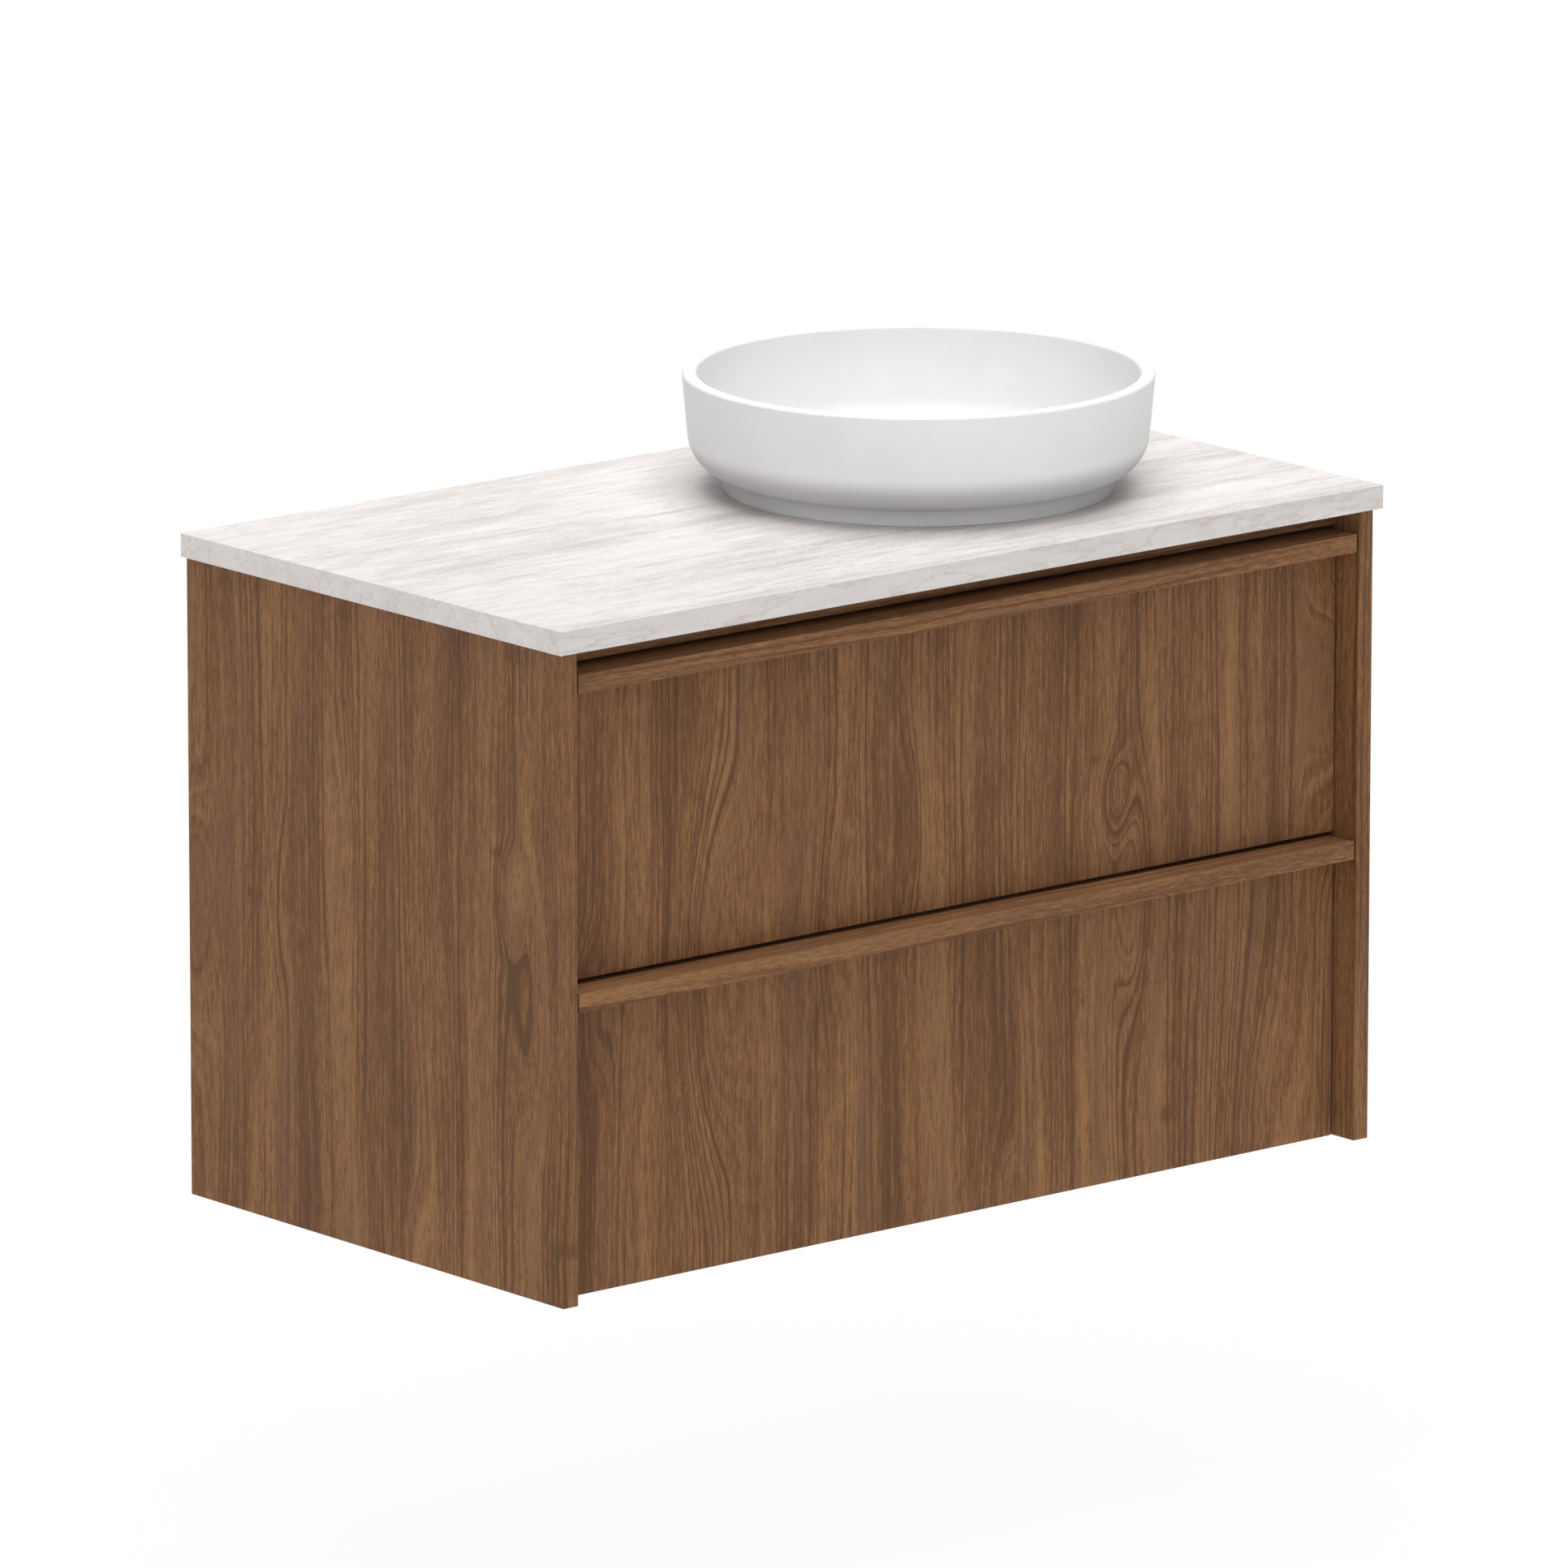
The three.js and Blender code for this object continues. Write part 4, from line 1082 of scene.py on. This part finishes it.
class VANITY_OT_trap(TurnedFittings, bpy.types.Operator):
    """Turn the bottle trap, its nuts and its pipes"""

    bl_idname = "vanity.trap"
    bl_label = "Bottle trap"

    def execute(self, context):
        self.prepare(context, "trap_cup")
        pipe = middle_of("outlet_pipe")
        self.outlet_line = (pipe.x, 0, pipe.z)
        self.add_inlet()
        self.add_bottle()
        self.add_outlet()
        return {"FINISHED"}

    def add_nut(self, name, node, wide, axis=UP, downward=False):
        """A fluted slip nut: wide inside, with a lip at its far end that closes on the pipe.

        A downward nut is the same section turned over, with its lip at the low end.
        """
        low, high, outer = round_box(node)
        near, far = (low.z, high.z) if axis == UP else (low.y, high.y)
        if downward:
            near, far = -far, -near
        profile = np.vstack([
            (wide, near),
            (outer - NUT_EDGE, near),
            upright_face(outer, np.linspace(near + NUT_EDGE, far - NUT_EDGE, 5)),
            (outer - NUT_EDGE, far),
            (PIPE_FIT + 0.4 * MM, far),
            (PIPE_FIT, far - 0.4 * MM),
            (PIPE_FIT, far - NUT_LIP),
            (wide, far - NUT_LIP),
        ])
        if downward:
            profile = profile[::-1] * (1, -1)
        flutes = partial(cut_flutes, outer=outer)
        self.add_metal(name, node, profile, axis=axis, sides=NUT_SIDES, reshape=flutes)

    def add_inlet(self):
        """The washer, the pipe with its collar, and the nut that draws it up to the waste."""
        _, _, collar = round_box("trap_inlet_washer")
        self.add_ring("inlet_washer", "trap_inlet_washer", PIPE_BORE, collar, 0.4 * MM)
        low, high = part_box("trap_inlet_pipe")
        pipe = PIPE_BORE + PIPE_WALL
        under_collar = high.z - COLLAR_HEIGHT
        profile = eased([
            (PIPE_BORE, low.z), (pipe, low.z), (pipe, under_collar), (collar, under_collar),
            (collar, high.z), (PIPE_BORE, high.z),
        ], 0.5 * MM)
        self.add_metal("inlet_pipe", "trap_inlet_pipe", profile)
        wide = round_box("trap_inlet_nut")[2] - 6 * MM
        self.add_nut("inlet_nut", "trap_inlet_nut", wide, downward=True)

    def add_bottle(self):
        """The bottle with its neck and outlet stub, the cup's seal, and the cup that screws on below."""
        low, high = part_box("trap_body")
        bottle = high.x - self.line[0]
        shoulder = self.outlet_line[2] + SHOULDER
        bore = bottle - BOTTLE_WALL
        profile = np.vstack([
            (bore, low.z),
            (bottle, low.z),
            (bottle, low.z + 12 * MM),
            (bottle - GROOVE, low.z + 12.8 * MM),
            (bottle - GROOVE, low.z + 14 * MM),
            (bottle, low.z + 14.8 * MM),
            arc((bottle - 5 * MM, shoulder - 5 * MM), 5 * MM, 0, QUARTER, 8),
            arc((NECK + 2 * MM, shoulder + 2 * MM), 2 * MM, 1.5 * math.pi, math.pi, 5),
            eased([(NECK, shoulder + 4 * MM), (NECK, high.z), (PIPE_FIT, high.z)], 0.6 * MM, closed=False),
            (PIPE_FIT, shoulder - BOTTLE_WALL),
            (bore, shoulder - BOTTLE_WALL),
        ])
        stub = rectangle(PIPE_FIT, NECK, self.line[1] + bottle - 5 * MM, high.y, 0.6 * MM)
        outlet = turned(stub, self.outlet_line, BACK, self.sides)
        self.add_metal("trap_bottle", "trap_body", profile, sides=96, extra=[outlet])
        self.add_ring("cup_seal", "trap_cup_seal", bore, bottle, 0.4 * MM)
        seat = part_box("trap_cup_seal")[0].z
        low, high, outer = round_box("trap_cup")
        bead = ((8 * MM, 0), (9 * MM, GROOVE), (11 * MM, GROOVE), (12 * MM, 0))
        profile = np.vstack([
            (0, low.z),
            [(radius, low.z + up) for radius, up in bead],
            arc((outer - CUP_ROUNDING, low.z + CUP_ROUNDING), CUP_ROUNDING - GROOVE, -QUARTER, 0, 8),
            upright_face(outer, np.linspace(seat - 6 * MM, high.z - 1.5 * MM, 6)),
            (outer - 1.2 * MM, high.z),
            (bottle + NECK_GAP, high.z),
            (bottle + NECK_GAP, seat),
            (bore, seat),
            (bore, low.z + CUP_ROUNDING),
            (bore - 5 * MM, low.z + CUP_FLOOR),
            (0, low.z + CUP_FLOOR),
        ])
        flutes = partial(cut_flutes, outer=outer, count=32, depth=0.6 * MM)
        self.add_metal("trap_cup_cap", "trap_cup", profile, sides=CUP_SIDES, reshape=flutes)

    def add_outlet(self):
        """The nuts of the neck and the outlet, the pipe to the wall, and the flange over its hole."""
        self.add_nut("neck_nut", "trap_neck_nut", NECK + NECK_GAP)
        self.add_nut("outlet_nut", "trap_outlet_nut", NECK + NECK_GAP, BACK)
        low, high, pipe = round_box("outlet_pipe")
        profile = rectangle(PIPE_BORE, pipe, low.y, high.y, 0.4 * MM)
        self.add_metal("wall_pipe", "outlet_pipe", profile, axis=BACK)
        low, high, rim = round_box("wall_flange")
        edge = 2 * MM
        width = rim - PIPE_FIT
        angle = np.linspace(-QUARTER, 0, 14)
        rise = high.y - edge + (high.y - low.y - edge) * np.sin(angle)
        dome = np.stack([PIPE_FIT + width * np.cos(angle), rise], -1)
        profile = np.vstack([dome, (rim, high.y - ARRIS), (rim - ARRIS, high.y), (PIPE_FIT, high.y)])
        self.add_metal("pressed_wall_flange", "wall_flange", profile, axis=BACK)


def screw(centre, axis, radius=4 * MM, height=1.6 * MM):
    """A pan-head screw: a low dome with a cross recess.

    The recess sinks the height by a share that falls with the radius, and falls slower along four arms.
    """
    rings = np.linspace(1, 0, 9)
    dome = [(radius * 0.96 * t, height * (1 - 0.55 * t * t)) for t in rings]
    profile = np.vstack([(0, 0), (radius, 0), (radius, 0.3 * height), dome])

    def cross(across, angle, along):
        arm = radius * (0.16 + 0.44 * np.abs(np.cos(2 * angle)) ** 12)
        sunk = np.clip(1 - across / arm, 0, 1) ** 0.4 * (along > 0.2 * height)
        return across, along - 0.65 * height * sunk

    return turned(profile, centre, axis, 32, cross)


BRACKET_STEEL = 2.5 * MM
BRACKET_SCREW_END = 15 * MM  # from the bracket's end to a screw
BRACKET_SCREW_SIDE = 24 * MM  # from the corner to a screw
HANGING_SCREWS = (-330, -110, 110, 330)  # millimetres from the middle
LOWER_SCREWS = (-330, 330)
WASHER = (9 * MM, 1.2 * MM)  # radius and thickness
WALL_SCREW = (6 * MM, 3 * MM)  # radius and height of the head
RUNNER_SCREW = (3.3 * MM, 1.3 * MM)
RUNNER_STEEL = 1.2 * MM
RUNNER_SCREW_END = 35 * MM
CAM_COVER = (9 * MM, 0.9 * MM)  # radius and thickness
CAM_INSET = 34 * MM
CAM_HEIGHTS = (40 * MM, 32 * MM)  # over the side's bottom edge and under its top
BOARD = 16 * MM


class VANITY_OT_fasteners(bpy.types.Operator):
    """Add screws, cam covers and bumpers"""

    bl_idname = "vanity.fasteners"
    bl_label = "Screws and covers"

    def execute(self, context):
        fittings = context.scene.vanity_fittings
        zinc = finish_named("bright zinc plate", zinc_plate, fittings)
        self.add_screws(zinc)
        self.add_runner_screws(zinc)
        self.add_cam_covers(context.scene.vanity_boards)
        self.add_bumpers(finish_named("clear rubber", clear_rubber, fittings))
        return {"FINISHED"}

    def add_screws(self, zinc):
        """Screws through the brackets' legs, and through the rails into the wall."""
        forward = (0, -1, 0)
        screws = []
        for name, inward in (("left_corner_bracket", 1), ("right_corner_bracket", -1)):
            low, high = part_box(name)
            side = low.x if inward > 0 else high.x
            aside, near = side + inward * BRACKET_SCREW_SIDE, side + inward * BRACKET_STEEL
            for height in (low.z + BRACKET_SCREW_END, high.z - BRACKET_SCREW_END):
                screws.append(screw((aside, high.y - BRACKET_STEEL, height), forward))
                screws.append(screw((near, high.y - BRACKET_SCREW_SIDE, height), (inward, 0, 0)))
        radius, thickness = WASHER
        washer = rectangle(0, radius, 0, thickness, 0.4 * MM)
        for name, places in (("hanging_rail", HANGING_SCREWS), ("lower_back_rail", LOWER_SCREWS)):
            low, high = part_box(name)
            for place in places:
                centre = (place * MM, low.y, (low.z + high.z) / 2)
                screws.append(turned(washer, centre, forward, 36))
                screws.append(screw((centre[0], centre[1] - thickness, centre[2]), forward, *WALL_SCREW))
        add_piece("rail_screws", screws, "root", zinc)

    def add_runner_screws(self, zinc):
        """Screws that hold the runners' inner members to the drawers, with their heads in the channel."""
        for drawer in ("upper", "lower"):
            screws = []
            for side, outward in (("left", -1), ("right", 1)):
                low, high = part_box(f"{drawer}_{side}_drawer_member")
                face = high.x - RUNNER_STEEL if outward < 0 else low.x + RUNNER_STEEL
                for along in np.linspace(low.y + RUNNER_SCREW_END, high.y - RUNNER_SCREW_END, 4):
                    centre = (face, along, (low.z + high.z) / 2)
                    screws.append(screw(centre, (outward, 0, 0), *RUNNER_SCREW))
            body = f"{drawer}_drawer"
            add_piece(f"{body}_runner_screws", screws, body, zinc)

    def add_cam_covers(self, boards):
        """Round caps over the cams that draw the boards together."""
        plastic = finish_named("moulded cover plastic", cover_plastic, boards)
        radius, thickness = CAM_COVER
        above, below = CAM_HEIGHTS
        cap = rectangle(0, radius, 0, thickness, 0.5 * MM)
        for drawer in ("upper_drawer", "lower_drawer"):
            covers = []
            for side, inward in (("left", 1), ("right", -1)):
                low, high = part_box(f"{drawer}_{side}_side")
                face = high.x if inward > 0 else low.x
                for along in (low.y + CAM_INSET, high.y - CAM_INSET - BOARD):
                    for height in (low.z + above, high.z - below):
                        covers.append(turned(cap, (face, along, height), (inward, 0, 0), 36))
            add_piece(f"{drawer}_cam_covers", covers, drawer, plastic)

    def add_bumpers(self, clear):
        """Self-adhesive domes that the lower drawer closes against."""
        for side in ("left", "right"):
            low, high, radius = round_box(f"{side}_bumper")
            thickness = high.y - low.y
            angle = np.linspace(0, QUARTER, 9)
            dome = np.stack([radius * np.cos(angle) ** 0.7, thickness * (0.25 + 0.75 * np.sin(angle))], -1)
            dome[-1, 0] = 0
            centre = ((low.x + high.x) / 2, high.y, (low.z + high.z) / 2)
            bumper = turned(np.vstack([(0, 0), (radius, 0), dome]), centre, (0, -1, 0), 36)
            add_piece(f"{side}_dome", [bumper], "root", clear, [f"{side}_bumper"])


STEEL_ARRIS = 0.25 * MM


class VANITY_OT_steel(bpy.types.Operator):
    """Dress the runners and the corner brackets"""

    bl_idname = "vanity.steel"
    bl_label = "Runners and brackets"

    def execute(self, context):
        zinc = finish_named("bright zinc plate", zinc_plate, context.scene.vanity_fittings)
        dress(nodes_in("zinc_steel"), zinc, STEEL_ARRIS)
        return {"FINISHED"}


def direction(azimuth, elevation):
    """The direction at an angle from the front and a height as an angle."""
    level = math.cos(elevation)
    return Vector((math.sin(azimuth) * level, -math.cos(azimuth) * level, math.sin(elevation)))


FLOOR_PAINT = "#FAFAF9"
FLOOR_GLOW = 0.96  # share of the background in the floor, the rest being its own shaded paint
SENSOR = 36  # millimetres, the camera's own unit
CAMERA_REACH = (0.1, 200)  # metres
LAMPS = (
    # Each lamp's strength setting, and its angles from the front and above level, in degrees.
    ("overhead", 0, 90),
    ("key", -32, 30),
    ("side", -100, 15),
)


class VANITY_OT_studio(bpy.types.Operator):
    """Set the floor, the lamps and the camera"""

    bl_idname = "vanity.studio"
    bl_label = "Studio"

    def execute(self, context):
        studio = context.scene.vanity_studio
        self.add_floor(studio)
        self.light(context.scene, studio)
        self.add_camera(context.scene, studio)
        context.scene.view_settings.view_transform = "Standard"
        return {"FINISHED"}

    def seen_directly(self, tree):
        """1 for a ray from the camera, a mirror or glass, and 0 for one that lights a matt surface."""
        rays = add_node(tree, "LightPath").outputs
        inputs = {0: rays["Is Camera Ray"], 1: rays["Is Glossy Ray"]}
        seen = add_node(tree, "Math", inputs, operation="MAXIMUM").outputs[0]
        inputs = {0: seen, 1: rays["Is Transmission Ray"]}
        return add_node(tree, "Math", inputs, operation="MAXIMUM").outputs[0]

    def add_floor(self, studio):
        """A wide pale floor. Seen directly it is the background, faintly shaded by the vanity."""
        low, _ = packed_box
        half = studio.floor_width / 2
        level = low.z - studio.floor_drop
        mesh = bpy.data.meshes.new("floor")
        corners = [(-half, -half, level), (half, -half, level), (half, half, level), (-half, half, level)]
        mesh.from_pydata(corners, [], [(0, 1, 2, 3)])
        material, tree, shader = start_material("painted floor")
        shader.inputs["Base Color"].default_value = (*linear(FLOOR_PAINT), 1)
        shader.inputs["Roughness"].default_value = 0.8
        glow = add_node(tree, "Emission", {"Color": (*studio.background, 1), "Strength": 1})
        inputs = {0: self.seen_directly(tree), 1: FLOOR_GLOW}
        share = add_node(tree, "Math", inputs, operation="MULTIPLY").outputs[0]
        above = add_node(tree, "MixShader", {0: share, 1: shader.outputs[0], 2: glow.outputs[0]})
        below = add_node(tree, "BsdfTransparent")
        facing = add_node(tree, "NewGeometry").outputs["Backfacing"]
        mixed = add_node(tree, "MixShader", {0: facing, 1: above.outputs[0], 2: below.outputs[0]})
        tree.links.new(mixed.outputs[0], tree.nodes["Material Output"].inputs["Surface"])
        mesh.materials.append(material)
        floor = bpy.data.objects.new("floor", mesh)
        bpy.context.scene.collection.objects.link(floor)

    def light(self, scene, studio):
        """A plain background that gives no light, and three wide lamps: overhead, front left and left."""
        scene.world = bpy.data.worlds.new("studio")
        scene.world.use_nodes = True
        tree = scene.world.node_tree
        unlit = tree.nodes["Background"]
        unlit.inputs["Strength"].default_value = 0
        seen = add_node(tree, "Background", {"Color": (*studio.background, 1), "Strength": 1})
        inputs = {0: self.seen_directly(tree), 1: unlit.outputs[0], 2: seen.outputs[0]}
        mixed = add_node(tree, "MixShader", inputs)
        tree.links.new(mixed.outputs[0], tree.nodes["World Output"].inputs["Surface"])
        for setting, azimuth, elevation in LAMPS:
            name = f"{setting} lamp"
            lamp = bpy.data.lights.new(name, "SUN")
            lamp.energy = getattr(studio, setting)
            lamp.angle = studio.softness
            holder = bpy.data.objects.new(name, lamp)
            towards = direction(math.radians(azimuth), math.radians(elevation))
            holder.rotation_euler = towards.to_track_quat("Z", "Y").to_euler()
            scene.collection.objects.link(holder)

    def add_camera(self, scene, studio):
        """The camera at the photograph's angle. Its axes follow from azimuth, elevation and roll."""
        azimuth, elevation, roll = studio.azimuth, studio.elevation, studio.roll
        back = direction(azimuth, elevation)
        level = Vector((math.cos(azimuth), math.sin(azimuth), 0))
        upright = back.cross(level)
        right = level * math.cos(roll) + upright * math.sin(roll)
        up = upright * math.cos(roll) - level * math.sin(roll)
        camera = bpy.data.objects.new("camera", bpy.data.cameras.new("camera"))
        camera.data.sensor_width = SENSOR
        camera.data.lens = studio.lens
        camera.data.clip_start, camera.data.clip_end = CAMERA_REACH
        axes = Matrix((right, up, back)).transposed().to_4x4()
        camera.matrix_world = Matrix.Translation(studio.place) @ axes
        scene.collection.objects.link(camera)
        scene.camera = camera


class VANITY_PT_parts(bpy.types.Panel):
    """Lists the steps that dress the vanity"""

    bl_idname = "VANITY_PT_parts"
    bl_label = "Vanity"
    bl_space_type = "VIEW_3D"
    bl_region_type = "UI"
    bl_category = "Vanity"

    def draw(self, context):
        for step in STEPS:
            self.layout.operator(step.bl_idname)
        for name in SETTINGS:
            box = self.layout.box()
            settings = getattr(context.scene, name)
            for key in settings.bl_rna.properties.keys():
                if key not in ("rna_type", "name"):
                    box.prop(settings, key)


SETTINGS = {
    "vanity_boards": VanityBoards,
    "vanity_stone": VanityStone,
    "vanity_basin": VanityBasin,
    "vanity_fittings": VanityFittings,
    "vanity_studio": VanityStudio,
}
STEPS = (
    VANITY_OT_boards,
    VANITY_OT_stone_top,
    VANITY_OT_basin,
    VANITY_OT_waste,
    VANITY_OT_trap,
    VANITY_OT_steel,
    VANITY_OT_fasteners,
    VANITY_OT_studio,
)
CLASSES = (*SETTINGS.values(), *STEPS, VANITY_PT_parts)


def register():
    for cls in CLASSES:
        bpy.utils.register_class(cls)
    for name, group in SETTINGS.items():
        setattr(bpy.types.Scene, name, PointerProperty(type=group))


def unregister():
    for name in SETTINGS:
        delattr(bpy.types.Scene, name)
    for cls in reversed(CLASSES):
        bpy.utils.unregister_class(cls)


def main():
    """Runs every step."""
    register()
    for step in STEPS:
        group, _, action = step.bl_idname.partition(".")
        getattr(getattr(bpy.ops, group), action)()


if __name__ == "__main__":
    main()
